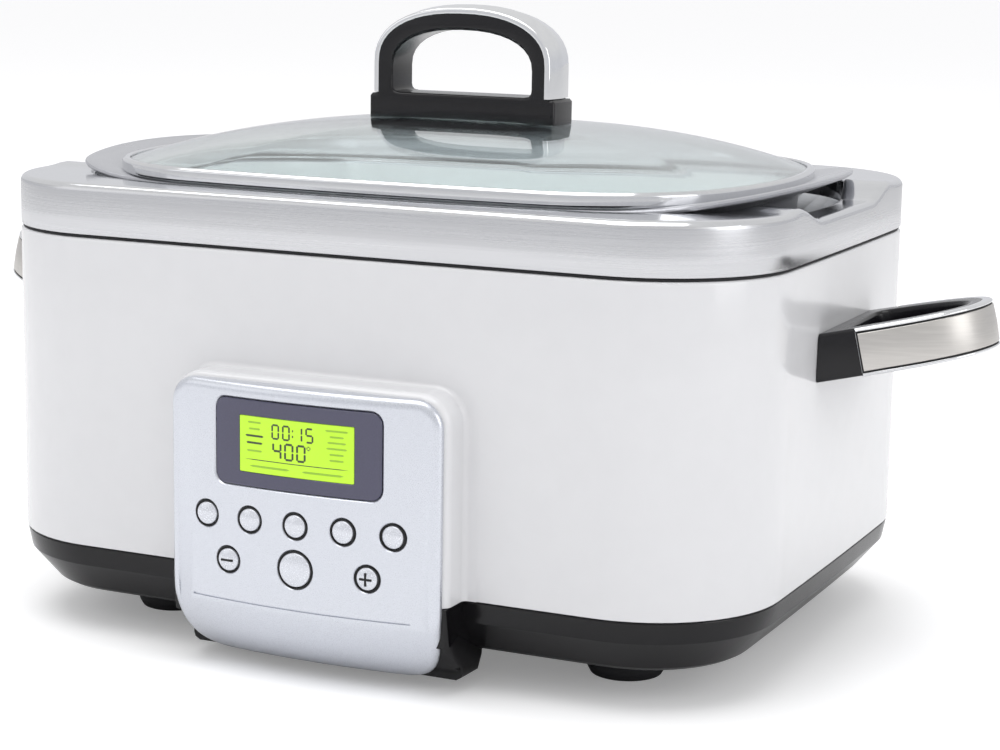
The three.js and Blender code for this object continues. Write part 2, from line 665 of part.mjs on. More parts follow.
function cookingPot() {
  const seat = 1.5;
  const tip = -EAR_REACH;
  const top = potRimTop;
  const under = top - POT_WALL + 0.3;
  return loft([
    ring(lidLine, POT_FOOT_INSET + POT_WALL + 12, POT_BOTTOM_Z),
    ring(lidLine, POT_FOOT_INSET + POT_WALL + 3, POT_BOTTOM_Z + 3),
    ring(lidLine, POT_FOOT_INSET + POT_WALL, POT_BOTTOM_Z + 12),
    ring(lidLine, POT_TOP_INSET + POT_WALL, top - 8),
    ring(lidLine, POT_TOP_INSET + 1, top - 1.5),
    ring(lidLine, POT_TOP_INSET - 1, top),
    earRing({ rim: seat + 1.2, ear: seat }, 0, top),
    earRing({ rim: seat + 0.8, ear: seat - 4 }, 0.4, top),
    earRing({ rim: seat + 0.4, ear: (seat + tip) / 2 }, EAR_RISE * 0.55, top),
    earRing({ rim: seat, ear: tip }, EAR_RISE, top),
    earRing({ rim: seat, ear: tip }, EAR_RISE, under),
    earRing({ rim: seat + 0.4, ear: (seat + tip) / 2 + 0.6 }, EAR_RISE * 0.5, under),
    earRing({ rim: seat + 0.8, ear: seat - 3.4 }, 0, under - 0.2),
    ring(lidLine, POT_TOP_INSET - 2, under - 1.5),
    ring(lidLine, POT_TOP_INSET, top - 8),
    ring(lidLine, POT_FOOT_INSET, POT_BOTTOM_Z + 12 - POT_WALL),
    ring(lidLine, POT_FOOT_INSET + 4, POT_BOTTOM_Z + 1.5 - POT_WALL),
    ring(lidLine, POT_FOOT_INSET + 12, POT_BOTTOM_Z - POT_WALL),
  ], false);
}

add("cooking_pot", cookingPot(), "pot");

// ---- lid -----------------------------------------------------------------------------

function domeRings(drop) {
  const rings = [];
  for (const share of [DOME_EDGE, 0.84, 0.68, 0.5, 0.28]) {
    const rise = DOME_RISE * (1 - (share / DOME_EDGE) ** DOME_POWER);
    rings.push(lidLine.map((p) => new THREE.Vector3(p.x * share, p.y * share, glassEdgeTop + rise - drop)));
  }
  return rings;
}

function lidGlass() {
  const edge = SHEET + 0.4;
  return loft([
    ...domeRings(0).reverse(),
    ring(lidLine, edge, glassEdgeTop),
    ring(lidLine, edge, glassEdgeTop - GLASS),
    ...domeRings(GLASS),
  ], false);
}

function lidRim() {
  return loft([
    ring(lidLine, 0, lidBottom),
    ring(lidLine, 0, lidTop - 1),
    ring(lidLine, 0.8, lidTop),
    ring(lidLine, 4.2, lidTop),
    ring(lidLine, 4.2, lidTop - SHEET),
    ring(lidLine, SHEET, lidTop - SHEET),
    ring(lidLine, SHEET, lidBottom + 0.8),
    ring(lidLine, 9, lidBottom + 0.8),
    ring(lidLine, 9, lidBottom),
  ], true);
}

// The knob's arch: straight posts, then one wide curve over the top.
function arch(shape, half, foot, shoulder, top, reverse) {
  const bend = (top - shoulder) * 0.6;
  const inward = half * 0.46;
  if (reverse) {
    shape.moveTo(half, foot);
    shape.lineTo(half, shoulder);
    shape.bezierCurveTo(half, shoulder + bend, half - inward, top, 0, top);
    shape.bezierCurveTo(-half + inward, top, -half, shoulder + bend, -half, shoulder);
    shape.lineTo(-half, foot);
    return shape;
  }
  shape.lineTo(-half, foot);
  shape.lineTo(-half, shoulder);
  shape.bezierCurveTo(-half, shoulder + bend, -half + inward, top, 0, top);
  shape.bezierCurveTo(half - inward, top, half, shoulder + bend, half, shoulder);
  shape.lineTo(half, foot);
  return shape;
}

const knobBottom = domeTop - 4;
const knobStep = domeTop - 2 + KNOB.footHeight;
const knobTop = domeTop - 2 + KNOB.rise;
const knobShoulder = knobStep + 14.5;

// The dome's outside lifted by the fit clearance, which the knob's underside is cut to.
function domeCutter() {
  return loft([ring(lidLine, 8, glassEdgeTop - 20), ...domeRings(-GAP)], false);
}

function lidHandle() {
  const shape = new THREE.Shape();
  shape.moveTo(-KNOB.halfX, knobBottom);
  shape.lineTo(-KNOB.halfX, knobStep);
  arch(shape, KNOB.archHalfX, knobStep, knobShoulder, knobTop, false);
  shape.lineTo(KNOB.halfX, knobStep);
  shape.lineTo(KNOB.halfX, knobBottom);
  const inner = KNOB.archHalfX - KNOB_HOLE.post;
  const hole = new THREE.Path();
  arch(hole, inner, knobStep + KNOB_HOLE.sill, knobShoulder - 2, knobTop - KNOB_HOLE.bar, true);
  shape.holes.push(hole);
  const block = prismY(shape, -KNOB.halfY, KNOB.halfY, 8);
  const pilots = [-LID_SCREW_X, LID_SCREW_X].map((x) => rod(SCREW.shank + GAP, x, 0, knobBottom - 5, knobStep - 1, 12));
  return cut(block, domeCutter(), ...pilots);
}

function handleStrap() {
  const gap = GAP;
  const shape = new THREE.Shape();
  const foot = knobStep + gap;
  shape.moveTo(-KNOB.archHalfX - gap - STRAP, foot);
  arch(shape, KNOB.archHalfX + gap + STRAP, foot, knobShoulder, knobTop + gap + STRAP, false);
  shape.lineTo(KNOB.archHalfX + gap, foot);
  const half = KNOB.archHalfX + gap;
  const bend = (knobTop + gap - knobShoulder) * 0.6;
  shape.lineTo(half, knobShoulder);
  shape.bezierCurveTo(half, knobShoulder + bend, half * 0.54, knobTop + gap, 0, knobTop + gap);
  shape.bezierCurveTo(-half * 0.54, knobTop + gap, -half, knobShoulder + bend, -half, knobShoulder);
  shape.lineTo(-half, foot);
  return prismY(shape, -STRAP_HALF_Y, STRAP_HALF_Y, 8);
}

function lidScrew(x) {
  const under = glassEdgeTop + DOME_RISE * (1 - (Math.abs(x) / (LID.halfX * DOME_EDGE)) ** DOME_POWER) - GLASS;
  const seat = under - 0.9;
  return turned([
    [0, seat - 3], [LID_SCREW_HEAD * 0.55, seat - 2.6], [LID_SCREW_HEAD * 0.9, seat - 1.4],
    [LID_SCREW_HEAD, seat], [SCREW.shank, seat], [SCREW.shank, knobStep - 3], [0, knobStep - 3]], x, 0, 16);
}

function glassWithHoles() {
  const holes = [-LID_SCREW_X, LID_SCREW_X].map((x) => rod(SCREW.shank + GAP, x, 0, lidBottom, domeTop + 5, 12));
  return cut(lidGlass(), ...holes);
}

add("lid_glass", glassWithHoles(), "glass");
add("lid_rim", lidRim(), "steel");
add("lid_handle", lidHandle(), "handle");
add("handle_strap", handleStrap(), "chrome");
add("lid_screw_left", lidScrew(-LID_SCREW_X), "steel");
add("lid_screw_right", lidScrew(LID_SCREW_X), "steel");

// ---- side handles ------------------------------------------------------------------------

// The grip seen from above: parallel arms that round into a bowed bar.
function gripOutline(outset, from) {
  const half = HANDLE.halfY + outset - 3;
  const reach = HANDLE.reach + outset;
  const shape = new THREE.Shape();
  shape.moveTo(from, -HANDLE.halfY - outset);
  shape.lineTo(HANDLE.block, -half);
  shape.lineTo(reach * 0.45, -half + 2.5);
  shape.bezierCurveTo(reach * 0.8, -half + 7, reach, -half * 0.5, reach, 0);
  shape.bezierCurveTo(reach, half * 0.5, reach * 0.8, half - 7, reach * 0.45, half - 2.5);
  shape.lineTo(HANDLE.block, half);
  shape.lineTo(from, HANDLE.halfY + outset);
  return shape;
}

function gripOpening() {
  const { from, halfY: half, corner } = GRIP_HOLE;
  const reach = HANDLE.reach - GRIP_HOLE.bar;
  const shape = new THREE.Shape();
  shape.moveTo(from + corner, -half);
  shape.lineTo(reach * 0.45, -half + 1.5);
  shape.bezierCurveTo(reach * 0.8, -half + 5, reach, -half * 0.5, reach, 0);
  shape.bezierCurveTo(reach, half * 0.5, reach * 0.8, half - 5, reach * 0.45, half - 1.5);
  shape.lineTo(from + corner, half);
  shape.absarc(from + corner, half - corner, corner, Math.PI / 2, Math.PI);
  shape.lineTo(from, -half + corner);
  shape.absarc(from + corner, -half + corner, corner, Math.PI, 1.5 * Math.PI);
  return shape;
}

// A grip piece is modelled lying level at the wall, tipped up, and turned round for the left side.
function placed(piece, side) {
  const tipped = piece.rotate([0, -HANDLE.tilt, 0]).translate([BODY.halfX, 0, HANDLE.z]);
  return side > 0 ? tipped : tipped.rotate([0, 0, 180]);
}

function clearOfWall(piece) {
  const wall = loft([ring(bodyLine, -GAP, housingBottom), ring(bodyLine, -GAP, housingTop)], false);
  return cut(piece, wall);
}

function handleBracket(side) {
  const half = HANDLE.height / 2;
  const loop = cut(prismZ(gripOutline(0, -6), -half, half), prismZ(gripOpening(), -half - 1, half + 1));
  const reach = BODY.halfX + 9;
  const hole = SCREW.shank + GAP;
  const pilots = [-HANDLE_SCREW_Y, HANDLE_SCREW_Y].map((y) => turnedX([
    [0, -reach], [hole, -reach], [hole, reach], [0, reach]], y, HANDLE.z, 12));
  return cut(clearOfWall(placed(loop, side)), ...pilots);
}

function handlePlate(side) {
  const half = HANDLE.height / 2 - 1.6;
  const outer = prismZ(gripOutline(GAP + HANDLE_PLATE, -6), -half, half);
  const bar = prismZ(gripOutline(GAP, -8), -half - 1, half + 1);
  const keep = box(HANDLE.block + 3, HANDLE.reach + 9, -HANDLE.halfY - 9, HANDLE.halfY + 9, -half, half);
  return placed(common(cut(outer, bar), keep), side);
}

function handleScrew(side, y) {
  const seat = BODY.halfX - WALL - GAP - 1;
  const profile = [
    [0, seat - SCREW.headHeight], [SCREW.head, seat - SCREW.headHeight], [SCREW.head, seat],
    [SCREW.shank, seat], [SCREW.shank, BODY.halfX + 7], [0, BODY.halfX + 7]];
  const screw = turnedX(profile, 0, 0, 12);
  const aimed = side > 0 ? screw : screw.rotate([0, 0, 180]);
  return aimed.translate([0, y, HANDLE.z]);
}

for (const [side, word] of [[-1, "left"], [1, "right"]]) {
  add(`${word}_handle_bracket`, handleBracket(side), "handle");
  add(`${word}_handle_plate`, handlePlate(side), "chrome");
  add(`${word}_handle_screw_front`, handleScrew(side, -HANDLE_SCREW_Y), "steel");
  add(`${word}_handle_screw_rear`, handleScrew(side, HANDLE_SCREW_Y), "steel");
}

// ---- control panel -------------------------------------------------------------------------

// Everything behind the bowed face and its chin, drawn in by an inset.
function panelBody(inset) {
  const rings = [];
  const reach = PANEL.halfX + 1;
  for (let i = 0; i <= 14; i++) {
    const x = reach * (i / 7 - 1);
    const front = panelFace(x);
    const line = chinPoints(front, inset);
    const low = line[line.length - 1][1];
    const section = [[panelBack + 1, PANEL.top - inset], [front + inset, PANEL.top - inset], ...line,
      [panelBack + 1, low]];
    rings.push(section.map(([y, z]) => new THREE.Vector3(x, y, z)));
  }
  const outline = panelOutline(
    PANEL.halfX - inset, PANEL.top - inset, PANEL.bottom + inset, PANEL.corner - inset);
  return common(loft(rings, false), prismY(outline, panelFront - 2, panelBack));
}

const keys = [
  ...[-2, -1, 0, 1, 2].map((i) => ({
    name: `button_${i + 3}`, x: i * KEY_PITCH, z: KEY_ROW_Z, radius: KEY_RADIUS })),
  { name: "button_minus", x: -PLUS_X, z: LOWER_ROW_Z, radius: KEY_RADIUS },
  { name: "button_plus", x: PLUS_X, z: LOWER_ROW_Z, radius: KEY_RADIUS },
  { name: "button_start", x: 0, z: LOWER_ROW_Z, radius: START_RADIUS },
];

const carrierBack = podFront + 5;
const carrierFront = carrierBack - 1.4;
const boardFront = carrierBack + 4.5;

function keyRing(key, inset, from, to) {
  const radius = key.radius + GAP + KEY_RING - inset;
  return turnedY([[0, from], [radius, from], [radius, to], [0, to]], key.x, key.z, 16);
}

function controlPanel() {
  const inFront = box(-PANEL.halfX, PANEL.halfX, panelFront - 2, podFront - GAP - 0.1, 0, PANEL.top);
  const hollow = common(panelBody(PANEL.sheet), inFront);
  const front = podFront - GAP;
  const behind = box(-PANEL.halfX - 1, PANEL.halfX + 1, front, panelBack + 1, CHIN.start, PANEL.top + 1);
  const inner = chinPoints(panelEdge, PANEL.sheet);
  const section = polygon([
    ...inner, [panelBack + 2, inner[inner.length - 1][1]], [panelBack + 2, CHIN.start],
    [inner[0][0], CHIN.start]].filter(([y, z], i, all) => i < all.length - 1 || z > inner[0][1]));
  const above = common(
    prismX(section, -PANEL.halfX - 1, PANEL.halfX + 1),
    box(-PANEL.halfX - 1, PANEL.halfX + 1, front, panelBack + 3, 0, CHIN.start + 1));
  const window = prismY(
    roundedRect(-BEZEL.halfX - GAP, BEZEL.halfX + GAP, BEZEL.bottom - GAP, BEZEL.top + GAP, BEZEL.corner),
    panelFront - 2, podFront + 2, 3);
  const holes = keys.map((key) => keyRing(key, -GAP, panelFront - 2, podFront + 2));
  const groove = common(
    cut(panelBody(-1), panelBody(GROOVE.depth)),
    box(-GROOVE.halfX, GROOVE.halfX, panelFront - 2, podFront, GROOVE.z, GROOVE.z + GROOVE.height));
  return cut(panelBody(0), hollow, behind, above, window, groove, ...holes);
}

// A piece of the panel's own curve, for what fills its window.
function curvedPane(outline, front, back) {
  const shell = cut(panelBody(front), panelBody(back));
  return common(shell, prismY(outline, panelFront - 2, podFront - GAP, 3));
}

function displayBezel() {
  const outline = roundedRect(-BEZEL.halfX, BEZEL.halfX, BEZEL.bottom, BEZEL.top, BEZEL.corner);
  const window = box(-SCREEN.halfX, SCREEN.halfX, panelFront - 3, podFront, SCREEN.bottom, SCREEN.top);
  return cut(curvedPane(outline, 0.2, PANEL.sheet), window);
}

function displayLens() {
  const half = SCREEN.halfX - GAP;
  const outline = roundedRect(-half, half, SCREEN.bottom + GAP, SCREEN.top - GAP, 0.6);
  return curvedPane(outline, 0.5, PANEL.sheet - 0.6);
}

function displayModule() {
  const back = boardFront - GAP;
  const half = SCREEN.halfX + 3;
  const front = panelFace(half) + PANEL.sheet + GAP;
  return box(-half, half, front, back, SCREEN.bottom - 3, SCREEN.top + 3);
}

// One black moulding whose collars surround the buttons and show through the panel.
function keyCarrier() {
  const plate = prismY(
    roundedRect(-PANEL.halfX + 9, PANEL.halfX - 9, LOWER_ROW_Z - 13, BEZEL.bottom - 5, 4),
    carrierFront, carrierBack, 3);
  const collars = keys.map((key) => keyRing(key, 0, panelFace(key.x) - 0.1, carrierBack));
  const bores = keys.map((key) => keyRing(key, KEY_RING, panelFront - 2, carrierBack + 1));
  return cut(join(plate, ...collars), ...bores);
}

function button(key) {
  const front = panelFace(key.x) - KEY_PROUD;
  const back = carrierBack + GAP;
  const dome = key.radius * 0.72;
  return turnedY([
    [0, front - 0.5], [dome, front], [key.radius, front + 0.9], [key.radius, back],
    [key.radius + 1.2, back], [key.radius + 1.2, back + 0.8], [1.5, back + 0.8],
    [1.5, boardFront - 0.6 - KEY_TRAVEL - GAP], [0, boardFront - 0.6 - KEY_TRAVEL - GAP]], key.x, key.z, 16);
}

function controlBoard() {
  const half = POD.halfX - WALL - 4;
  const board = box(-half, half, boardFront, boardFront + 1.6, housingBottom + 3, POD.top - WALL - 9);
  const switches = keys.map((key) => box(
    key.x - 2.5, key.x + 2.5, boardFront - 0.6, boardFront + 1, key.z - 2.5, key.z + 2.5));
  return join(board, ...switches);
}

add("control_panel", controlPanel(), "silver");
add("display_bezel", displayBezel(), "slate");
add("display_lens", displayLens(), "screen");
add("display_module", displayModule(), "board");
add("key_carrier", keyCarrier(), "black");
add("control_board", controlBoard(), "board");
keys.forEach((key) => add(key.name, button(key), "chrome"));

// The part's origin is under the middle of its whole depth, buttons and gland included.
const frontReach = -(panelFace(0) - KEY_PROUD - 0.5);
const backReach = BODY.halfY + GLAND.proud;
cooker.position.y = (frontReach - backReach) / 2;

export default cooker;
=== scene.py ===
"""A family-size slow cooker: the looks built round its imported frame."""
import math

import bmesh
import bpy
from mathutils import Matrix, Vector


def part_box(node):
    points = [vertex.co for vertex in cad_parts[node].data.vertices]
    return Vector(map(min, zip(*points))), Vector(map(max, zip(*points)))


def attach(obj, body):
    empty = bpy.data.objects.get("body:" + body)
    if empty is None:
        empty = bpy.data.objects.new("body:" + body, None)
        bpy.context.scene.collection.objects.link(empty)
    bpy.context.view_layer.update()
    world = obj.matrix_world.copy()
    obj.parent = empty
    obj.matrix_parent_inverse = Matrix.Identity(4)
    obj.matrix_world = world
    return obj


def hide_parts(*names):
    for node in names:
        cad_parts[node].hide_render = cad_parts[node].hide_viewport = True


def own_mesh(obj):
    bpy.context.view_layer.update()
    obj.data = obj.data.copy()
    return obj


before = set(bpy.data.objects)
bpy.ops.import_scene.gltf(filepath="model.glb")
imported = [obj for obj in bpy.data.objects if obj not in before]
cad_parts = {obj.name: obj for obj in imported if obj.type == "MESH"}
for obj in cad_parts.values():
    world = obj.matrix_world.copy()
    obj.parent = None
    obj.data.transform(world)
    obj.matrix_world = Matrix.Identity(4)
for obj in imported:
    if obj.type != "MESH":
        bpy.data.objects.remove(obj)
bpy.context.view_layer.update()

# ---- Stage -------------------------------------------------------------------
# A pale seamless floor under broad soft light, seen from the front and a little to the right.
# The room is a plain white tent: bright overhead, greyer near the floor, so bright metal has tone.

MM = 0.001
band_low, band_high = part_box("rim_band")
MID_Y = (band_low.y + band_high.y) / 2 / MM
HALF_X = band_high.x / MM
HALF_Y = (band_high.y - band_low.y) / 2 / MM


def linear(hex_colour):
    """An sRGB hex colour as linear red, green, blue and alpha."""
    channels = [int(hex_colour[i : i + 2], 16) / 255 for i in (1, 3, 5)]
    return [c / 12.92 if c <= 0.04045 else ((c + 0.055) / 1.055) ** 2.4 for c in channels] + [1.0]


def add(tree, kind, feeds=None, **settings):
    """One node with its settings, each input fed by a value or by another node's output."""
    node = tree.nodes.new(kind)
    for name, value in settings.items():
        setattr(node, name, value)
    for name, value in (feeds or {}).items():
        if isinstance(value, bpy.types.NodeSocket):
            tree.links.new(value, node.inputs[name])
        else:
            node.inputs[name].default_value = value
    return node


def finish(name, **inputs):
    """A new material with its main shader set, ready for a pattern."""
    material = bpy.data.materials.new(name)
    material.use_nodes = True
    shader = material.node_tree.nodes["Principled BSDF"]
    for socket, value in inputs.items():
        shader.inputs[socket.replace("_", " ")].default_value = value
    return material, material.node_tree, shader


def blend_colours(tree, factor, first, second):
    """A mix of two colours by a pattern."""
    mix = add(tree, "ShaderNodeMix", data_type="RGBA")
    tree.links.new(factor, mix.inputs[0])
    mix.inputs[6].default_value = linear(first)
    mix.inputs[7].default_value = linear(second)
    return mix.outputs[2]


def object_space(tree, scale):
    """Object coordinates in metres, multiplied along each axis."""
    coords = add(tree, "ShaderNodeTexCoord")
    mapping = add(tree, "ShaderNodeMapping", {"Vector": coords.outputs["Object"], "Scale": scale})
    return mapping.outputs["Vector"]


def bumped(tree, shader, height, strength, distance):
    """Relief from a pattern, with its depth in metres."""
    bump = add(tree, "ShaderNodeBump", {"Height": height, "Strength": strength, "Distance": distance})
    tree.links.new(bump.outputs["Normal"], shader.inputs["Normal"])


def ranged(tree, value, low, high):
    """A 0 to 1 pattern spread over another range."""
    spread = add(tree, "ShaderNodeMapRange", {"Value": value, "To Min": low, "To Max": high})
    return spread.outputs["Result"]


scene = bpy.context.scene
scene.view_settings.view_transform = "Standard"
world = bpy.data.worlds.new("studio_tent")
scene.world = world
world.use_nodes = True
sky = world.node_tree
sky.nodes.clear()
direction = add(sky, "ShaderNodeTexCoord")
height = add(sky, "ShaderNodeSeparateXYZ", {"Vector": direction.outputs["Generated"]})
tent = add(sky, "ShaderNodeValToRGB", {"Fac": height.outputs["Z"]})
tent.color_ramp.elements[0].position = 0.0
tent.color_ramp.elements[0].color = (0.86, 0.87, 0.91, 1)
tent.color_ramp.elements[1].position = 0.45
tent.color_ramp.elements[1].color = (1.0, 1.0, 1.0, 1)
glow = add(sky, "ShaderNodeBackground", {"Color": tent.outputs["Color"], "Strength": 0.82})
backdrop = add(sky, "ShaderNodeBackground", {"Color": (1, 1, 1, 1), "Strength": 1.3})
ray = add(sky, "ShaderNodeLightPath")
chosen = add(sky, "ShaderNodeMixShader", {
    0: ray.outputs["Is Camera Ray"], 1: glow.outputs["Background"], 2: backdrop.outputs["Background"]})
add(sky, "ShaderNodeOutputWorld", {"Surface": chosen.outputs["Shader"]})

paper, tree, shader = finish("floor_paper", Base_Color=linear("#F4F4F5"), Roughness=0.9)
fibre = add(tree, "ShaderNodeTexNoise", {"Vector": object_space(tree, (1, 1, 1)), "Scale": 300.0})
tree.links.new(blend_colours(tree, fibre.outputs["Fac"], "#F2F2F3", "#F6F6F7"), shader.inputs["Base Color"])

# The paper is lit from beyond the view as well, which the camera sees as a clean white.
seen = add(tree, "ShaderNodeLightPath")
tree.links.new(seen.outputs["Is Camera Ray"], shader.inputs["Emission Strength"])
shader.inputs["Emission Color"].default_value = (0.22, 0.22, 0.22, 1)

bpy.ops.mesh.primitive_circle_add(vertices=96, radius=14, fill_type="NGON")
floor = bpy.context.object
floor.name = "floor"
floor.data.materials.append(paper)


def softbox(name, place, aim, size, power):
    """One square soft light, aimed at a point; places in metres."""
    light = bpy.data.lights.new(name, "AREA")
    light.shape = "RECTANGLE"
    light.size, light.size_y = size
    light.energy = power
    box = bpy.data.objects.new(name, light)
    box.location = place
    box.rotation_euler = (Vector(aim) - Vector(place)).to_track_quat("-Z", "Y").to_euler()
    scene.collection.objects.link(box)


softbox("overhead_softbox", (-0.3, -0.2, 2.4), (0, 0, 0.1), (2.6, 2.0), 34)
softbox("front_left_softbox", (-1.9, -1.9, 1.2), (0, 0, 0.12), (1.5, 1.5), 3)
softbox("right_softbox", (2.3, -0.3, 0.9), (0, 0, 0.12), (1.2, 1.5), 9)

AZIMUTH = math.radians(24.81)
ELEVATION = math.radians(10.5)
ROLL = math.radians(0.92)
back = Vector((math.sin(AZIMUTH) * math.cos(ELEVATION), -math.cos(AZIMUTH) * math.cos(ELEVATION),
               math.sin(ELEVATION)))
across = Vector((math.cos(AZIMUTH), math.sin(AZIMUTH), 0))
upward = back.cross(across)
right = across * math.cos(ROLL) + upward * math.sin(ROLL)
up = upward * math.cos(ROLL) - across * math.sin(ROLL)
lens = bpy.data.cameras.new("camera")
lens.lens = 85.93
lens.sensor_width = 36
camera = bpy.data.objects.new("camera", lens)
spot = Vector((17.62 * MM, MID_Y * MM, 110.67 * MM)) + back * 1135.9 * MM
camera.matrix_world = Matrix((
    (right.x, up.x, back.x, spot.x), (right.y, up.y, back.y, spot.y),
    (right.z, up.z, back.z, spot.z), (0, 0, 0, 1)))
scene.collection.objects.link(camera)
scene.camera = camera

# ---- Outer housing -----------------------------------------------------------
# One injection-moulded ABS shell with a high-gloss white finish, a box on its front for the panel
# and four vent slots at each rear corner. It drops over the base and is screwed to it from below.


def outline(half_x, half_y, corner, bow_x, bow_y):
    """Four shallow arcs joined by four corner arcs, anticlockwise from +X: (x, y, normal x, normal y)."""
    end = Vector((half_x - bow_x, 0))
    face = Vector((0, half_y - bow_y))
    end_reach, face_reach = bow_x - corner, bow_y - corner
    apart = (end - face).length
    along = (face_reach**2 - end_reach**2 + apart**2) / (2 * apart)
    offset = math.sqrt(max(face_reach**2 - along**2, 0))
    ahead = (end - face) / apart
    middle = face + ahead * along
    side = Vector((-ahead.y, ahead.x)) * offset
    centre = max(middle + side, middle - side, key=lambda p: p.x + p.y)
    low = math.atan2(centre.y - end.y, centre.x - end.x)
    high = math.atan2(centre.y - face.y, centre.x - face.x)
    quarter = []
    for centre_x, centre_y, radius, start, stop, steps in (
        (end.x, 0, bow_x, 0, low, 16), (centre.x, centre.y, corner, low, high, 16),
        (0, face.y, bow_y, high, math.pi / 2, 12)):
        for i in range(steps):
            a = start + (stop - start) * i / steps
            quarter.append((centre_x + radius * math.cos(a), centre_y + radius * math.sin(a),
                            math.cos(a), math.sin(a)))
    top = (0, half_y, 0, 1)
    mirror = [(-x, y, -nx, ny) for x, y, nx, ny in reversed(quarter)]
    upper = quarter + [top] + mirror
    lower = [(x, -y, nx, -ny) for x, y, nx, ny in reversed(upper[1:-1])]
    return upper + lower


def rounded(corners, steps=4, closed=True):
    """A polygon of (a, b, radius) corners, each turned into an arc."""
    points = []
    count = len(corners)
    for i, (a, b, radius) in enumerate(corners):
        here = Vector((a, b))
        if radius == 0 or (not closed and i in (0, count - 1)):
            points.append((a, b))
            continue
        before = (Vector(corners[i - 1][:2]) - here).normalized()
        after = (Vector(corners[(i + 1) % count][:2]) - here).normalized()
        half = before.angle(after) / 2
        reach = radius / math.tan(half)
        centre = here + (before + after).normalized() * radius / math.sin(half)
        first, last = here + before * reach - centre, here + after * reach - centre
        for k in range(steps + 1):
            arm = first.normalized().slerp(last.normalized(), k / steps) * radius
            points.append((centre.x + arm.x, centre.y + arm.y))
    return points


def ring(line, inset, z):
    """An outline drawn in by an inset, at one height."""
    return [(x - inset * nx, y - inset * ny, z) for x, y, nx, ny in line]


def plain(name, vertices, faces, sharp=32):
    """A mesh object from places in mm about the body's centre, with outward faces and smooth curves."""
    mesh = bpy.data.meshes.new(name)
    mesh.from_pydata([(x * MM, (y + MID_Y) * MM, z * MM) for x, y, z in vertices], [], faces)
    work = bmesh.new()
    work.from_mesh(mesh)
    bmesh.ops.remove_doubles(work, verts=work.verts, dist=1e-6)
    bmesh.ops.dissolve_degenerate(work, edges=work.edges, dist=1e-7)
    bmesh.ops.recalc_face_normals(work, faces=work.faces)
    work.to_mesh(mesh)
    work.free()
    mesh.shade_smooth()
    mesh.set_sharp_from_angle(angle=math.radians(sharp))
    piece = bpy.data.objects.new(name, mesh)
    scene.collection.objects.link(piece)
    return piece


def skin(name, rings, looped, sharp=32):
    """A closed surface through rings of equal length: a tube closed on itself, or a capped stack."""
    count = len(rings[0])
    vertices = [point for loop in rings for point in loop]
    faces = []
    for r in range(len(rings) if looped else len(rings) - 1):
        a, b = r * count, (r + 1) % len(rings) * count
        for i in range(count):
            j = (i + 1) % count
            faces.append((a + i, a + j, b + j, b + i))
    if not looped:
        faces.append(tuple(reversed(range(count))))
        faces.append(tuple(range((len(rings) - 1) * count, len(rings) * count)))
    return plain(name, vertices, faces, sharp)


def settle(piece, material, body, slot, *nodes):
    """The piece takes its material, rides on its body and stands for its frame nodes."""
    if material:
        piece.data.materials.clear()
        piece.data.materials.append(material)
    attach(piece, body)
    if nodes:
        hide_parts(*nodes)


def grown(name, tree, inputs, start=None):
    """What a geometry tree makes, from nothing or from a starting mesh, as a plain mesh object."""
    piece = bpy.data.objects.new(name, start or bpy.data.meshes.new(name))
    scene.collection.objects.link(piece)
    modifier = piece.modifiers.new("grow", "NODES")
    modifier.node_group = tree
    for item in tree.interface.items_tree:
        if item.in_out == "INPUT" and item.name in inputs:
            modifier[item.identifier] = inputs[item.name]
    bpy.context.view_layer.update()
    mesh = bpy.data.meshes.new_from_object(piece.evaluated_get(bpy.context.evaluated_depsgraph_get()))
    piece.modifiers.clear()
    piece.data = mesh
    return piece


def cut_by(piece, cutter, sharp=32):
    """The piece with the cutter's solid taken out of it; the cutter is used up."""
    modifier = piece.modifiers.new("cut", "BOOLEAN")
    modifier.operation = "DIFFERENCE"
    modifier.solver = "EXACT"
    modifier.object = cutter
    bpy.context.view_layer.update()
    mesh = bpy.data.meshes.new_from_object(piece.evaluated_get(bpy.context.evaluated_depsgraph_get()))
    piece.modifiers.clear()
    piece.data = mesh
    bpy.data.objects.remove(cutter)
    mesh.shade_smooth()
    mesh.set_sharp_from_angle(angle=math.radians(sharp))


def merged(name, parts):
    """Several (piece, material) parts as one object."""
    work = bmesh.new()
    mesh = bpy.data.meshes.new(name)
    palette = []
    for piece, material in parts:
        if material not in palette:
            palette.append(material)
            mesh.materials.append(material)
        for face in piece.data.polygons:
            face.material_index = palette.index(material)
        work.from_mesh(piece.data)
        bpy.data.objects.remove(piece)
    work.to_mesh(mesh)
    work.free()
    whole = bpy.data.objects.new(name, mesh)
    scene.collection.objects.link(whole)
    return whole


BODY = outline(HALF_X, HALF_Y, 61, 5600, 17300)
housing_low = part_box("outer_housing")[0] / MM
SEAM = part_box("rim_gasket")[0].z / MM - 0.3
POD_FRONT = housing_low.y - MID_Y
POD_HALF, POD_TOP, POD_CORNER = 66.8, 131, 14


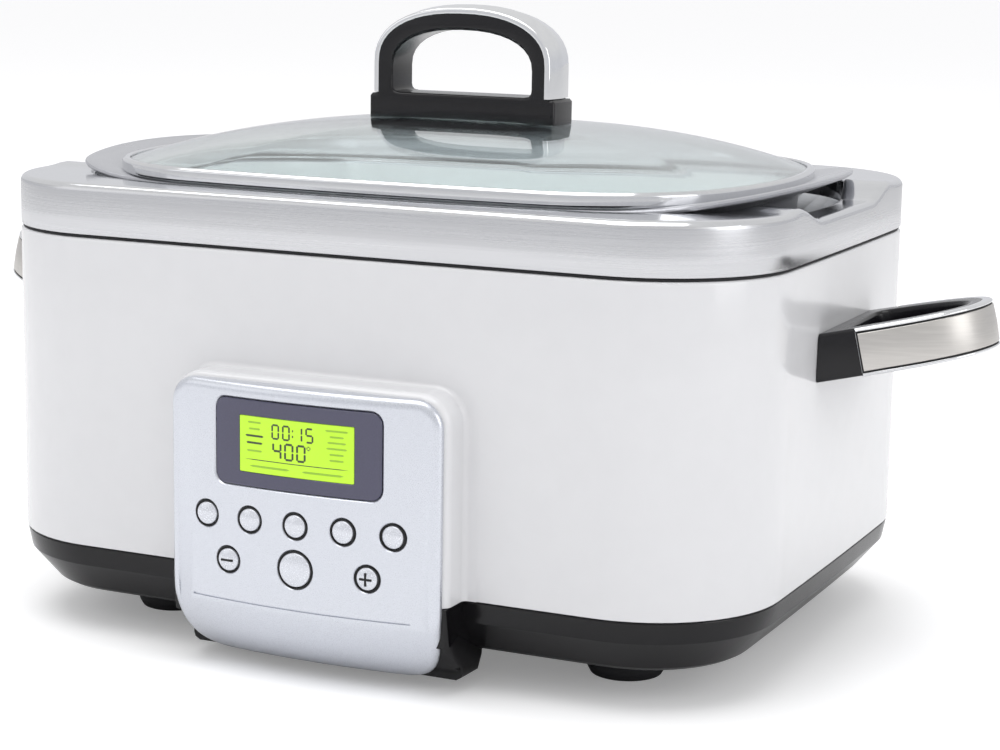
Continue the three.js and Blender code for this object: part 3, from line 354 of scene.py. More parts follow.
def slot_row():
    """A row of slot-shaped blocks, used to cut vents."""
    tree = bpy.data.node_groups.new("slot_row", "GeometryNodeTree")
    tree.interface.new_socket("Geometry", in_out="OUTPUT", socket_type="NodeSocketGeometry")
    for name, kind in (("Count", "NodeSocketInt"), ("Start", "NodeSocketVector"),
                       ("Step", "NodeSocketVector"), ("Slot size", "NodeSocketVector"),
                       ("Material", "NodeSocketMaterial")):
        tree.interface.new_socket(name, in_out="INPUT", socket_type=kind)
    given = add(tree, "NodeGroupInput").outputs
    line = add(tree, "GeometryNodeMeshLine", {
        "Count": given["Count"], "Start Location": given["Start"], "Offset": given["Step"]})
    block = add(tree, "GeometryNodeMeshCube", {"Size": given["Slot size"]})
    spread = add(tree, "GeometryNodeInstanceOnPoints", {
        "Points": line.outputs["Mesh"], "Instance": block.outputs["Mesh"]})
    real = add(tree, "GeometryNodeRealizeInstances", {"Geometry": spread.outputs["Instances"]})
    dressed = add(tree, "GeometryNodeSetMaterial", {
        "Geometry": real.outputs["Geometry"], "Material": given["Material"]})
    add(tree, "NodeGroupOutput", {"Geometry": dressed.outputs["Geometry"]})
    return tree


slots = slot_row()

# Gloss-moulded ABS: a clear, very slightly rippled skin that mirrors soft light.
white_abs, tree, shader = finish("gloss_white_moulded_abs", Base_Color=linear("#DADADC"), Roughness=0.16,
                                 IOR=1.53, Coat_Weight=0.35, Coat_Roughness=0.04)
ripple = add(tree, "ShaderNodeTexNoise",
             {"Vector": object_space(tree, (1, 1, 1)), "Scale": 90.0, "Detail": 2.0})
grain = add(tree, "ShaderNodeTexNoise", {"Vector": object_space(tree, (1, 1, 1)), "Scale": 1400.0})
tree.links.new(blend_colours(tree, ripple.outputs["Fac"], "#D8D8DA", "#DCDCDE"), shader.inputs["Base Color"])
tree.links.new(ranged(tree, grain.outputs["Fac"], 0.13, 0.2), shader.inputs["Roughness"])
bumped(tree, shader, ripple.outputs["Fac"], 0.12, 0.00012)

wall = rounded([(0, housing_low.z, 0.6), (0, SEAM, 1.4), (3.6, SEAM, 0.4), (3.6, SEAM - 4, 0),
                (2.5, SEAM - 6, 0),
                (2.5, housing_low.z, 0.4)])
shell = skin("housing_shell", [ring(BODY, inset, z) for inset, z in wall], True)
for side in (-1, 1):
    vents = grown("vent_cutter", slots, {
        "Count": 4, "Start": (side * 142 * MM, (HALF_Y - 20 + MID_Y) * MM, 145.4 * MM),
        "Step": (0, 0, 5.6 * MM), "Slot size": (60 * MM, 60 * MM, 2.8 * MM), "Material": white_abs})
    cut_by(shell, vents)


def arch_path(half, top, corner, bottom, steps=14):
    """Up one side, round two corners and down the other: (x, z, normal x, normal z)."""
    path = [(-half, bottom + (top - corner - bottom) * i / 10, -1, 0) for i in range(10)]
    for sign, start in ((-1, math.pi), (1, math.pi / 2)):
        for i in range(steps + 1):
            a = start - math.pi / 2 * i / steps
            path.append((sign * (half - corner) + corner * math.cos(a), top - corner + corner * math.sin(a),
                         math.cos(a), math.sin(a)))
    path += [(half, bottom + (top - corner - bottom) * i / 10, 1, 0) for i in reversed(range(10))]
    return path


def wall_y(x):
    """The housing's front wall, which bows very slightly."""
    return -HALF_Y + x * x / (2 * 17300)


pod_profile = rounded([
    (-6, POD_FRONT, 0.5), (0, POD_FRONT, 4.5), (0, -HALF_Y, 2.4), (6, -HALF_Y, 0), (6, -HALF_Y + 1.5, 0),
    (-6, -HALF_Y + 1.5, 0)], steps=7)
pod_rings = []
for x, z, nx, nz in arch_path(POD_HALF, POD_TOP, POD_CORNER, housing_low.z):
    loop = []
    for outset, y in pod_profile:
        place = x + nx * outset
        follow = max(0, min(1, outset / 2.4)) * (wall_y(place) + HALF_Y - 0.03)
        loop.append((place, y + follow, z + nz * outset))
    pod_rings.append(loop)
pod = skin("panel_box", pod_rings, False)
settle(merged("outer_housing_shell", [(shell, white_abs), (pod, white_abs)]), None, "cooker", "white_shell",
       "outer_housing")

# ---- Seam gasket -------------------------------------------------------------
# A thin black EPDM ring that fills the shadow line between the shell and the steel rim.
# It is pressed on the shell's upstand and sits a millimetre back from both.

epdm, tree, shader = finish("matt_black_rubber", Base_Color=linear("#1B1B1D"), Roughness=0.75)
pores = add(tree, "ShaderNodeTexNoise",
            {"Vector": object_space(tree, (1, 1, 1)), "Scale": 900.0, "Detail": 4.0})
tree.links.new(blend_colours(tree, pores.outputs["Fac"], "#161618", "#222225"), shader.inputs["Base Color"])
bumped(tree, shader, pores.outputs["Fac"], 0.35, 0.00008)
gasket_low, gasket_high = [corner.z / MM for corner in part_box("rim_gasket")]
gasket = rounded([(0.9, gasket_low, 0.2), (0.9, gasket_high, 0.2), (2.6, gasket_high, 0),
                  (2.6, gasket_low, 0)])
settle(skin("seam_gasket", [ring(BODY, inset, z) for inset, z in gasket], True),
       epdm, "cooker", "rubber", "rim_gasket")

# ---- Rim band ----------------------------------------------------------------
# One deep-drawn stainless steel ring: a brushed outer face, a rolled edge and a polished deck.
# Both ends are pressed down into a scoop, so that fingers reach under the ears of the pot.

BAND_LOW, RIM_TOP = band_low.z / MM, band_high.z / MM
MOUTH = outline(172.6, 118, 62, 225, 1050)
SCOOP_DEPTH, SCOOP_FLAT, SCOOP_RAMP, SCOOP_CREST = 5.6, 37, 26, 1.1


def eased(value, start, stop):
    """0 before start, 1 after stop, and a smooth rise between."""
    t = max(0.0, min(1.0, (value - start) / (stop - start)))
    return t * t * (3 - 2 * t)


def dipped(points):
    """The rim's top pressed down over each scoop, with a slight crest beside it."""
    out = []
    for x, y, z in points:
        end = eased(abs(x), 120, 138)
        dip = 1 - eased(abs(y), SCOOP_FLAT, SCOOP_FLAT + SCOOP_RAMP)
        crest = math.exp(-(((abs(y) - SCOOP_FLAT - SCOOP_RAMP - 3) / 8) ** 2))
        out.append((x, y, z - end * (SCOOP_DEPTH * dip - SCOOP_CREST * crest)))
    return out


def across_deck(share, z):
    """A ring on the deck, part of the way from the body's outline to the mouth's."""
    return [(a[0] + (b[0] - a[0]) * share, a[1] + (b[1] - a[1]) * share, z) for a, b in zip(BODY, MOUTH)]


# Stainless steel brushed along its length: fine level lines that stretch every highlight sideways.
brushed, tree, shader = finish("brushed_stainless_steel", Base_Color=linear("#CFCFD1"), Metallic=1.0,
                               Roughness=0.3, Anisotropic=0.45)
# Real brushing lines are 0.05 mm apart; they are drawn 0.5 mm apart, so that they still show.
lines = add(tree, "ShaderNodeTexNoise", {
    "Vector": object_space(tree, (14, 14, 2000)), "Scale": 1.0, "Detail": 3.0, "Roughness": 0.7})
broad = add(tree, "ShaderNodeTexNoise",
            {"Vector": object_space(tree, (6, 6, 60)), "Scale": 1.0, "Detail": 2.0})
tree.links.new(blend_colours(tree, lines.outputs["Fac"], "#BFC0C3", "#DADADC"), shader.inputs["Base Color"])
streak = add(tree, "ShaderNodeMath", {0: lines.outputs["Fac"], 1: broad.outputs["Fac"]},
             operation="MULTIPLY")
tree.links.new(ranged(tree, streak.outputs["Value"], 0.22, 0.42), shader.inputs["Roughness"])
bumped(tree, shader, lines.outputs["Fac"], 0.1, 0.00004)

# The same steel polished after drawing: a soft mirror with faint random polishing marks.
polished, tree, shader = finish("polished_stainless_steel", Base_Color=linear("#D9DADC"), Metallic=1.0,
                                Roughness=0.09)
marks = add(tree, "ShaderNodeTexNoise", {
    "Vector": object_space(tree, (120, 700, 400)), "Scale": 1.0, "Detail": 4.0, "Distortion": 0.4})
tree.links.new(ranged(tree, marks.outputs["Fac"], 0.05, 0.15), shader.inputs["Roughness"])
tree.links.new(blend_colours(tree, marks.outputs["Fac"], "#D2D3D6", "#DEDFE1"), shader.inputs["Base Color"])
bumped(tree, shader, marks.outputs["Fac"], 0.06, 0.00003)

ROLL_RADIUS = 3.2
LIP_BOTTOM = RIM_TOP - SCOOP_DEPTH - 5
band_rings = [ring(BODY, 0, BAND_LOW + 0.4), ring(BODY, 0, RIM_TOP - 14)]
for i in range(7):
    a = math.radians(15 * i)
    band_rings.append(dipped(ring(
        BODY, ROLL_RADIUS * (1 - math.cos(a)), RIM_TOP - ROLL_RADIUS * (1 - math.sin(a)))))
band_rings += [dipped(across_deck(share, RIM_TOP)) for share in (0.24, 0.4, 0.6, 0.8)]
for i in range(5):
    a = math.radians(22.5 * i)
    band_rings.append(dipped(ring(MOUTH, -1.6 * (1 - math.sin(a)), RIM_TOP - 1.6 * (1 - math.cos(a)))))
band_rings += [ring(MOUTH, 0, LIP_BOTTOM), ring(MOUTH, -1.2, LIP_BOTTOM)]
band_rings.append(dipped(ring(MOUTH, -1.2, RIM_TOP - 2.2)))
band_rings += [dipped(across_deck(share, RIM_TOP - 1.2)) for share in (0.8, 0.6, 0.4, 0.24)]
band_rings += [dipped(ring(BODY, 1.2, RIM_TOP - ROLL_RADIUS - 0.6)), ring(BODY, 1.2, RIM_TOP - 14),
               ring(BODY, 1.2, BAND_LOW), ring(BODY, 0.4, BAND_LOW)]
band = skin("rim_band_steel", band_rings, True, sharp=50)
settle(band, brushed, "cooker", "brushed_steel", "rim_band")
band.data.materials.append(polished)
for face in band.data.polygons:
    if face.normal.z > 0.5 or (face.center.z / MM > RIM_TOP - 10 and face.center.z / MM < RIM_TOP - 1.7
                               and max(abs(face.center.x / MM) - 173,
                                       abs(face.center.y / MM - MID_Y) - 119) < 0):
        face.material_index = 1

# ---- Base pan ----------------------------------------------------------------
# A glossy black moulded tray that closes the housing from below, bevelled at its top edge.
# A black foot under the control panel is moulded in one with it.

BASE_LOW, BASE_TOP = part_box("base_pan")[0].z / MM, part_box("base_pan")[1].z / MM
TRAY_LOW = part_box("foot_front_left")[1].z / MM + 0.3

# Black ABS from a polished mould: deep and glossy, with the faintest moulding ripple.
black_abs, tree, shader = finish("gloss_black_moulded_abs", Base_Color=linear("#0A090C"), Roughness=0.2,
                                 IOR=1.4)
flow = add(tree, "ShaderNodeTexNoise",
           {"Vector": object_space(tree, (1, 1, 1)), "Scale": 60.0, "Detail": 2.0})
tree.links.new(blend_colours(tree, flow.outputs["Fac"], "#09080A", "#0D0C0F"), shader.inputs["Base Color"])
tree.links.new(ranged(tree, flow.outputs["Fac"], 0.14, 0.24), shader.inputs["Roughness"])
bumped(tree, shader, flow.outputs["Fac"], 0.1, 0.00012)

tray = rounded([
    (22, TRAY_LOW + 2.5, 0), (17.8, TRAY_LOW + 2.5, 0), (4.5, TRAY_LOW + 15.5, 0), (2.8, BASE_TOP, 0.3),
    (0.3, BASE_TOP, 0.8), (2.2, TRAY_LOW + 15.5, 1.5), (13.8, TRAY_LOW + 1.8, 2.5), (17, TRAY_LOW, 1.5),
    (22, TRAY_LOW, 0)], closed=False)
tray_piece = skin("base_tray", [ring(BODY, inset, z) for inset, z in tray], False)
rows = grown("base_vent_cutter", slots, {
    "Count": 7, "Start": (-42 * MM, (87.5 + MID_Y) * MM, (TRAY_LOW + 1) * MM),
    "Step": (14 * MM, 0, 0), "Slot size": (4 * MM, 35 * MM, 8 * MM), "Material": black_abs})
cut_by(tray_piece, rows)

panel_low, panel_high = [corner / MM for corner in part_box("control_panel")]
PANEL_HALF, PANEL_TOP, PANEL_BOTTOM = panel_high.x, panel_high.z, panel_low.z
PANEL_FRONT = panel_low.y - MID_Y
PANEL_BACK = panel_high.y - MID_Y
BOW, CHIN_START, CHIN_LEAN, CHIN_BEND, CHIN_DEPTH = 6.5, 33, 4.5, 13, 19
PANEL_EDGE = PANEL_FRONT + BOW


def chin(t):
    """The chin's curve from the side, 0 at its start and 1 at the bottom edge: (setback, height)."""
    back_by = 2 * t * (1 - t) * CHIN_LEAN + t * t * CHIN_DEPTH
    z = (1 - t) ** 2 * CHIN_START + 2 * t * (1 - t) * CHIN_BEND + t * t * PANEL_BOTTOM
    return back_by, z


foot_back = -HALF_Y + 22.3
section = [(PANEL_EDGE + 3, BASE_TOP), (PANEL_EDGE + 3, CHIN_START - 9)]
for i in range(3, 11):
    set_back, z = chin(i / 10)
    section.append((PANEL_EDGE + 3.2 + set_back, z + 2.4))
section = [point for point in section if point[0] < PANEL_BACK]
section += [(PANEL_BACK + 0.4, 8.4), (PANEL_BACK + 0.4, PANEL_BOTTOM), (foot_back - 4, PANEL_BOTTOM),
            (foot_back, PANEL_BOTTOM + 6), (foot_back, BASE_TOP)]
mid_section = (foot_back + PANEL_EDGE) / 2, 24
foot_rings = []
for x, inset in ((-66.6, 3.4), (-65.9, 1.4), (-63.6, 0), (63.6, 0), (65.9, 1.4), (66.6, 3.4)):
    loop = []
    for y, z in section:
        dy, dz = y - mid_section[0], z - mid_section[1]
        length = math.hypot(dy, dz)
        low = inset if z < BASE_TOP - 1 else 0
        loop.append((x, y - dy / length * low, z - dz / length * low))
    foot_rings.append(loop)
pod_foot = skin("panel_foot", foot_rings, False)
settle(merged("base_pan_moulding", [(tray_piece, black_abs), (pod_foot, black_abs)]), None, "cooker",
       "black_base", "base_pan")

# ---- Feet and their screws ---------------------------------------------------
# Four moulded rubber feet with a ribbed side, each held by a zinc-plated cross-head screw.
# The screw sits up in the foot's recess, clear of the table.


def turned(name, profile, centre, axis="z", sides=48, sharp=32):
    """A round piece from (radius, height) corners, standing along Z or Y at a place in mm."""
    rings = []
    for radius, height in profile:
        loop = []
        for i in range(sides):
            a = 2 * math.pi * i / sides
            u, v = radius * math.cos(a), radius * math.sin(a)
            if axis == "z":
                loop.append((centre[0] + u, centre[1] + v, height))
            else:
                loop.append((centre[0] + u, height, centre[1] + v))
        rings.append(loop)
    return skin(name, rings, False, sharp)


def four_of():
    """A piece set at the four corners of a rectangle."""
    tree = bpy.data.node_groups.new("four_of", "GeometryNodeTree")
    tree.interface.new_socket("Geometry", in_out="OUTPUT", socket_type="NodeSocketGeometry")
    for name, kind in (("Piece", "NodeSocketObject"), ("Spread X", "NodeSocketFloat"),
                       ("Spread Y", "NodeSocketFloat"), ("Material", "NodeSocketMaterial")):
        tree.interface.new_socket(name, in_out="INPUT", socket_type=kind)
    given = add(tree, "NodeGroupInput").outputs
    corners = add(tree, "GeometryNodeMeshGrid", {
        "Size X": given["Spread X"], "Size Y": given["Spread Y"], "Vertices X": 2, "Vertices Y": 2})
    model = add(tree, "GeometryNodeObjectInfo", {"Object": given["Piece"]})
    spread = add(tree, "GeometryNodeInstanceOnPoints", {
        "Points": corners.outputs["Mesh"], "Instance": model.outputs["Geometry"]})
    real = add(tree, "GeometryNodeRealizeInstances", {"Geometry": spread.outputs["Instances"]})
    dressed = add(tree, "GeometryNodeSetMaterial", {
        "Geometry": real.outputs["Geometry"], "Material": given["Material"]})
    add(tree, "NodeGroupOutput", {"Geometry": dressed.outputs["Geometry"]})
    return tree


corners_tree = four_of()
FOOT_X, FOOT_Y = 116, 76
CORNER_NAMES = ("front_left", "front_right", "rear_left", "rear_right")
foot_profile = rounded([
    (2.4, 7, 0), (4.6, 7, 0), (4.6, 0, 0.3), (15.6, 0, 1), (17.2, 3, 1), (17.6, 6, 0.4), (16.9, 6.6, 0.3),
    (17.7, 7.2, 0.3), (18, 9.6, 0.4), (17.3, 10.2, 0.3), (18.2, 10.8, 0.4), (18.6, TRAY_LOW - 0.3, 0.4),
    (2.4, TRAY_LOW - 0.3, 0)])
screw_profile = rounded([
    (0.01, 4.9, 0), (1.2, 4.9, 0), (1.3, 4.45, 0), (2.6, 4.6, 0.4), (3.6, 5.6, 0.4), (3.6, 6.7, 0),
    (1.9, 6.7, 0),
    (1.9, TRAY_LOW, 0), (0.01, TRAY_LOW, 0)], closed=False)

# Zinc-plated steel: a cool grey metal with a soft, slightly cloudy shine.
zinc, tree, shader = finish("zinc_plated_steel", Base_Color=linear("#B4B6BA"), Metallic=1.0, Roughness=0.32)
cloud = add(tree, "ShaderNodeTexNoise",
            {"Vector": object_space(tree, (1, 1, 1)), "Scale": 500.0, "Detail": 3.0})
tree.links.new(blend_colours(tree, cloud.outputs["Fac"], "#A4A7AD", "#C6C8CB"), shader.inputs["Base Color"])
tree.links.new(ranged(tree, cloud.outputs["Fac"], 0.24, 0.42), shader.inputs["Roughness"])

for name, profile, looped, material, slot in (
    ("rubber_feet", foot_profile, True, epdm, "rubber"),
    ("foot_screws", screw_profile, False, zinc, "screw_steel")):
    rings = []
    for radius, height in profile:
        rings.append([(radius * math.cos(math.tau * i / 40), radius * math.sin(math.tau * i / 40), height)
                      for i in range(40)])
    model = skin("model", rings, looped)
    four = grown(name, corners_tree, {
        "Piece": model, "Spread X": 2 * FOOT_X * MM, "Spread Y": 2 * FOOT_Y * MM, "Material": material})
    bpy.data.objects.remove(model)
    kind = "foot_" if name == "rubber_feet" else "foot_screw_"
    settle(four, material, "cooker", slot, *[kind + corner for corner in CORNER_NAMES])

# ---- Inside the housing ------------------------------------------------------
# The heating well and the cup of the temperature sensor are spun aluminium; the sleeve is
# mineral fleece; the element, fuse and spring are steel. They keep the shapes of the frame.


def dress(node, material):
    """A frame piece that keeps its own shape takes a material."""
    mesh = bpy.data.objects[node].data
    mesh.materials.clear()
    mesh.materials.append(material)


# Spun aluminium: pale and satin, with turning lines round the wall.
aluminium, tree, shader = finish("spun_aluminium", Base_Color=linear("#C9CBCE"), Metallic=1.0,
                                 Roughness=0.34)
spun = add(tree, "ShaderNodeTexNoise",
           {"Vector": object_space(tree, (20, 20, 900)), "Scale": 1.0, "Detail": 3.0})
tree.links.new(blend_colours(tree, spun.outputs["Fac"], "#BDBFC3", "#D3D5D8"), shader.inputs["Base Color"])
tree.links.new(ranged(tree, spun.outputs["Fac"], 0.28, 0.42), shader.inputs["Roughness"])
bumped(tree, shader, spun.outputs["Fac"], 0.15, 0.00006)
for node in ("heating_well", "temperature_sensor", "sensor_cup"):
    dress(node, aluminium)

# Mineral fleece: a loose felt of pale fibres.
fleece, tree, shader = finish("mineral_fleece", Base_Color=linear("#CFC9B8"), Roughness=0.95)
fibres = add(tree, "ShaderNodeTexNoise", {
    "Vector": object_space(tree, (600, 900, 600)), "Scale": 1.0, "Detail": 5.0, "Distortion": 1.5})
tree.links.new(blend_colours(tree, fibres.outputs["Fac"], "#B7B09D", "#DDD8CA"), shader.inputs["Base Color"])
bumped(tree, shader, fibres.outputs["Fac"], 0.7, 0.0005)
dress("insulation_sleeve", fleece)

for node in ("heating_element", "thermal_fuse"):
    dress(node, zinc)

# The spring under the sensor is wound wire, built here at one fixed length; the real one shortens by the
# sensor's travel.
spring_low, spring_high = [corner.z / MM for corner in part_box("sensor_spring")]
COIL, WIRE, TURNS = 4.5, 0.55, 4
wire_rings = []
for i in range(TURNS * 24 + 1):
    a = math.tau * i / 24
    rise = spring_low + 1.1 + (spring_high - spring_low - 2.2) * i / (TURNS * 24)
    wire_rings.append([
        ((COIL + WIRE * math.cos(math.tau * k / 10)) * math.cos(a),
         (COIL + WIRE * math.cos(math.tau * k / 10)) * math.sin(a),
         rise + WIRE * math.sin(math.tau * k / 10))
        for k in range(10)])
spring = skin("sensor_spring_wire", wire_rings, False, 60)
settle(spring, zinc, "sensor", "screw_steel", "sensor_spring")
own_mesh(spring)
dress("cord_gland", epdm)

# Glass-fibre board under a green lacquer, with the weave just visible.
board_green, tree, shader = finish("green_circuit_board", Base_Color=linear("#1E5B3A"), Roughness=0.38,
                                   Coat_Weight=0.3)
weave = add(tree, "ShaderNodeTexWave",
            {"Vector": object_space(tree, (1, 1, 1)), "Scale": 260.0, "Distortion": 1.0})
tree.links.new(blend_colours(tree, weave.outputs["Fac"], "#1A5234", "#246843"), shader.inputs["Base Color"])
bumped(tree, shader, weave.outputs["Fac"], 0.1, 0.00005)
for node in ("power_board", "control_board", "display_module"):
    dress(node, board_green)

dress("key_carrier", black_abs)

# ---- Cooking pot -------------------------------------------------------------
# A die-cast aluminium pot with a smooth grey ceramic coating inside and out.
# Its rim lies just under the lid, and an ear at each end reaches out over the scoops.

LID = outline(159.2, 115.9, 73.5, 207.6, 1038)
pot_low, pot_high = [corner.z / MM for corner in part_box("cooking_pot")]
LID_BOTTOM, LID_TOP = [corner.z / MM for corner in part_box("lid_rim")]
POT_RIM = LID_BOTTOM - 0.5
EAR_REACH, EAR_RISE, EAR_DROOP = 18, 8.5, 0.0005


def eared(inset, lift):
    """A ring on the pot's rim, drawn out and up into an ear at each end."""
    points = []
    for x, y, nx, ny in LID:
        pull = eased(abs(x), 116, 147) * (1 - inset / 20 if inset > 0 else 1)
        pull = max(0, pull)
        outward = pull * EAR_REACH
        rise = pull ** 1.4 * (EAR_RISE - EAR_DROOP * y * y)
        points.append((x - inset * nx + outward * nx, y - inset * ny + outward * ny, POT_RIM + lift + rise))
    return points


# Sprayed ceramic coating: mid grey, fine-grained and satin.
coating, tree, shader = finish("grey_ceramic_coating", Base_Color=linear("#A9AAAF"), Metallic=0.55,
                               Roughness=0.3,
                               Coat_Weight=0.3, Coat_Roughness=0.15)
fleck = add(tree, "ShaderNodeTexNoise",
            {"Vector": object_space(tree, (1, 1, 1)), "Scale": 1600.0, "Detail": 2.0})
drift = add(tree, "ShaderNodeTexNoise", {"Vector": object_space(tree, (1, 1, 1)), "Scale": 25.0})
tree.links.new(blend_colours(tree, fleck.outputs["Fac"], "#9A9BA1", "#B8B9BE"), shader.inputs["Base Color"])
tree.links.new(ranged(tree, drift.outputs["Fac"], 0.22, 0.38), shader.inputs["Roughness"])
bumped(tree, shader, fleck.outputs["Fac"], 0.2, 0.00004)

pot_rings = []
wall_in, wall_foot = 8, 19
for inset, z in rounded([(130, pot_low, 0), (wall_foot, pot_low, 14), (wall_in - 1, POT_RIM - 6, 0)], 8,
                        False)[1:]:
    pot_rings.append(ring(LID, inset, z))
pot_rings += [ring(LID, 5.4, POT_RIM - 3.6), ring(LID, 4.4, POT_RIM - 3.0), eared(1, -2.8), eared(0.3, -2.4),
              eared(0, -1.4), eared(0.3, -0.5), eared(1, 0), eared(6, 0), eared(8.6, -0.3)]
for inset, z in rounded([(9.6, POT_RIM - 1.4, 0), (wall_foot + 2.5, pot_low + 2.5, 13),
                         (130, pot_low + 2.5, 0)],
                        8, False)[:-1]:
    pot_rings.append(ring(LID, inset, z))
pot_piece = skin("pot_body", [ring(LID, 60, pot_low)] + pot_rings + [ring(LID, 60, pot_low + 2.5)], False,
                 40)
settle(pot_piece, coating, "pot", "pot_coating", "cooking_pot")
# The same coating, painted pale on the inside of the bowl: a painted sheen that stands in for the pale
# reflection of the lid glass over it.
pale, tree, shader = finish("ceramic_coating_painted_pale_sheen", Base_Color=linear("#E3E4E5"), Roughness=0.3,
                            Coat_Weight=0.3, Coat_Roughness=0.15)
fleck = add(tree, "ShaderNodeTexNoise",
            {"Vector": object_space(tree, (1, 1, 1)), "Scale": 1600.0, "Detail": 2.0})
tree.links.new(blend_colours(tree, fleck.outputs["Fac"], "#DCDDDE", "#EAEBEC"), shader.inputs["Base Color"])
tree.links.new(ranged(tree, fleck.outputs["Fac"], 0.25, 0.36), shader.inputs["Roughness"])
bumped(tree, shader, fleck.outputs["Fac"], 0.2, 0.00004)
pot_piece.data.materials.append(pale)
# Faces turned into the bowl take the pale painted sheen.
for face in pot_piece.data.polygons:
    middle = face.center / MM - Vector((0, MID_Y, 0))
    if face.normal.dot(Vector((middle.x, middle.y,
                               -60 if middle.z < POT_RIM - 20 else 0))) < 0 and middle.z < POT_RIM - 1:
        face.material_index = 1

# ---- Lid glass ---------------------------------------------------------------
# A pane of tempered glass slumped into a flat dome, four millimetres thick, with a ground edge.
# The real pane is drilled for the two screws of the handle; this pane is built whole, without the holes.

EDGE_TOP = LID_TOP - 1.5
DOME_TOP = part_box("lid_glass")[1].z / MM
GLASS = 4
lid_steps = [1 - (i / 15) ** 1.6 for i in range(16)]


def dome_z(x, y):
    """The dome's upper surface."""
    share = min(1.0, lid_share(x, y))
    return EDGE_TOP + (DOME_TOP - EDGE_TOP) * (1 - share ** 2.7)


def lid_share(x, y):
    """How far a point is from the lid's middle to its edge."""
    direction = math.atan2(y, x)
    nearest = min(LID, key=lambda p: abs(math.atan2(math.sin(math.atan2(p[1], p[0]) - direction),
                                                    math.cos(math.atan2(p[1], p[0]) - direction))))
    return math.hypot(x, y) / math.hypot(nearest[0], nearest[1]) / 0.955


def dome(drop, edge):
    """Rings from the edge to the middle, a drop below the upper surface."""
    return [[(x * edge * s, y * edge * s, EDGE_TOP + (DOME_TOP - EDGE_TOP) * (1 - s ** 2.7) - drop)
             for x, y, _, _ in LID] for s in lid_steps[:-1]]


# Clear tempered glass with the faint green-grey of soda lime; light passes to the pot below.
glass, tree, shader = finish("clear_tempered_glass", Base_Color=linear("#F3FAFA"), Roughness=0.02, IOR=1.6,
                             Transmission_Weight=1.0)
wave = add(tree, "ShaderNodeTexNoise", {"Vector": object_space(tree, (1, 1, 1)), "Scale": 18.0})
tree.links.new(ranged(tree, wave.outputs["Fac"], 0.0, 0.03), shader.inputs["Roughness"])
bumped(tree, shader, wave.outputs["Fac"], 0.05, 0.0001)
tint = add(tree, "ShaderNodeBsdfTransparent", {"Color": linear("#F4FAFA")})
lamp_ray = add(tree, "ShaderNodeLightPath")
pane = add(tree, "ShaderNodeMixShader", {
    0: lamp_ray.outputs["Is Shadow Ray"], 1: shader.outputs["BSDF"], 2: tint.outputs["BSDF"]})
tree.links.new(pane.outputs["Shader"], tree.nodes["Material Output"].inputs["Surface"])

upper, under = dome(0, 0.984), dome(GLASS, 0.984)
glass_piece = skin("lid_pane", list(reversed(under)) + upper, False, 40)
settle(glass_piece, glass, "lid", "lid_glass", "lid_glass")

# ---- Lid rim -----------------------------------------------------------------
# A polished stainless steel hoop rolled round the edge of the glass.

hoop = rounded([(0.4, LID_BOTTOM, 1), (0, LID_BOTTOM + 1.2, 0.8), (0, LID_TOP - 1.2, 1.1),
                (1.6, LID_TOP, 1.1),
                (3.6, LID_TOP - 0.2, 0.5), (3.6, LID_TOP - 1.2, 0.2), (1.6, LID_TOP - 1.3, 0.3),
                (1.6, LID_BOTTOM + 1.2, 0.3),
                (7.2, LID_BOTTOM + 1.2, 0.3), (7.2, LID_BOTTOM, 0.3)])
settle(skin("lid_hoop", [ring(LID, inset, z) for inset, z in hoop], True, 40),
       polished, "lid", "brushed_steel", "lid_rim")

# ---- Lid handle --------------------------------------------------------------
# A black phenolic arch with a rectangular opening and a stepped foot that sits on the glass.
# Its edges are rounded; it is moulded in one piece and screwed on from below.

KNOB_LOW, KNOB_HIGH = [corner.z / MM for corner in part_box("lid_handle")]
FOOT_HALF, ARCH_HALF, ARCH_THICK = 47.6, 44.3, 11.2
STEP_Z = DOME_TOP + 11


def arch_line(out, base_z, round_from):
    """The arch seen from the front: up, over a rounded top and down, drawn out by an amount."""
    top = KNOB_HIGH + out
    half = ARCH_HALF + out
    points = [(-half, base_z)]
    points.append((-half, round_from))
    for i in range(1, 24):
        a = math.pi - math.pi * i / 24
        cx, cz = math.cos(a), math.sin(a)
        squareness = 2 / 2.3
        points.append((half * math.copysign(abs(cx) ** squareness, cx),
                       round_from + (top - round_from) * abs(cz) ** squareness))
    points.append((half, round_from))
    points.append((half, base_z))
    return points


def plate_of(name, outer, hole, half_depth, bevel, matrix):
    """A flat shape with rounded edges, made in a plane and moved to its place."""
    curve = bpy.data.curves.new(name, "CURVE")
    curve.dimensions = "2D"
    curve.fill_mode = "BOTH"
    for line in [outer] + ([hole] if hole else []):
        spline = curve.splines.new("POLY")
        spline.points.add(len(line) - 1)
        for point, (x, z) in zip(spline.points, line):
            point.co = (x * MM, z * MM, 0, 1)
        spline.use_cyclic_u = True
    curve.extrude = (half_depth - bevel) * MM
    curve.bevel_depth = bevel * MM
    curve.bevel_resolution = 4
    curve.offset = -bevel * MM
    model = bpy.data.objects.new(name, curve)
    scene.collection.objects.link(model)
    bpy.context.view_layer.update()
    mesh = bpy.data.meshes.new_from_object(model.evaluated_get(bpy.context.evaluated_depsgraph_get()))
    bpy.data.objects.remove(model)
    mesh.transform(matrix)
    work = bmesh.new()
    work.from_mesh(mesh)
    bmesh.ops.remove_doubles(work, verts=work.verts, dist=2e-6)
    bmesh.ops.dissolve_degenerate(work, edges=work.edges, dist=1e-6)
    bmesh.ops.recalc_face_normals(work, faces=work.faces)
    work.to_mesh(mesh)
    work.free()
    mesh.materials.clear()
    mesh.shade_smooth()
    mesh.set_sharp_from_angle(angle=math.radians(40))
    piece = bpy.data.objects.new(name, mesh)
    scene.collection.objects.link(piece)
    return piece


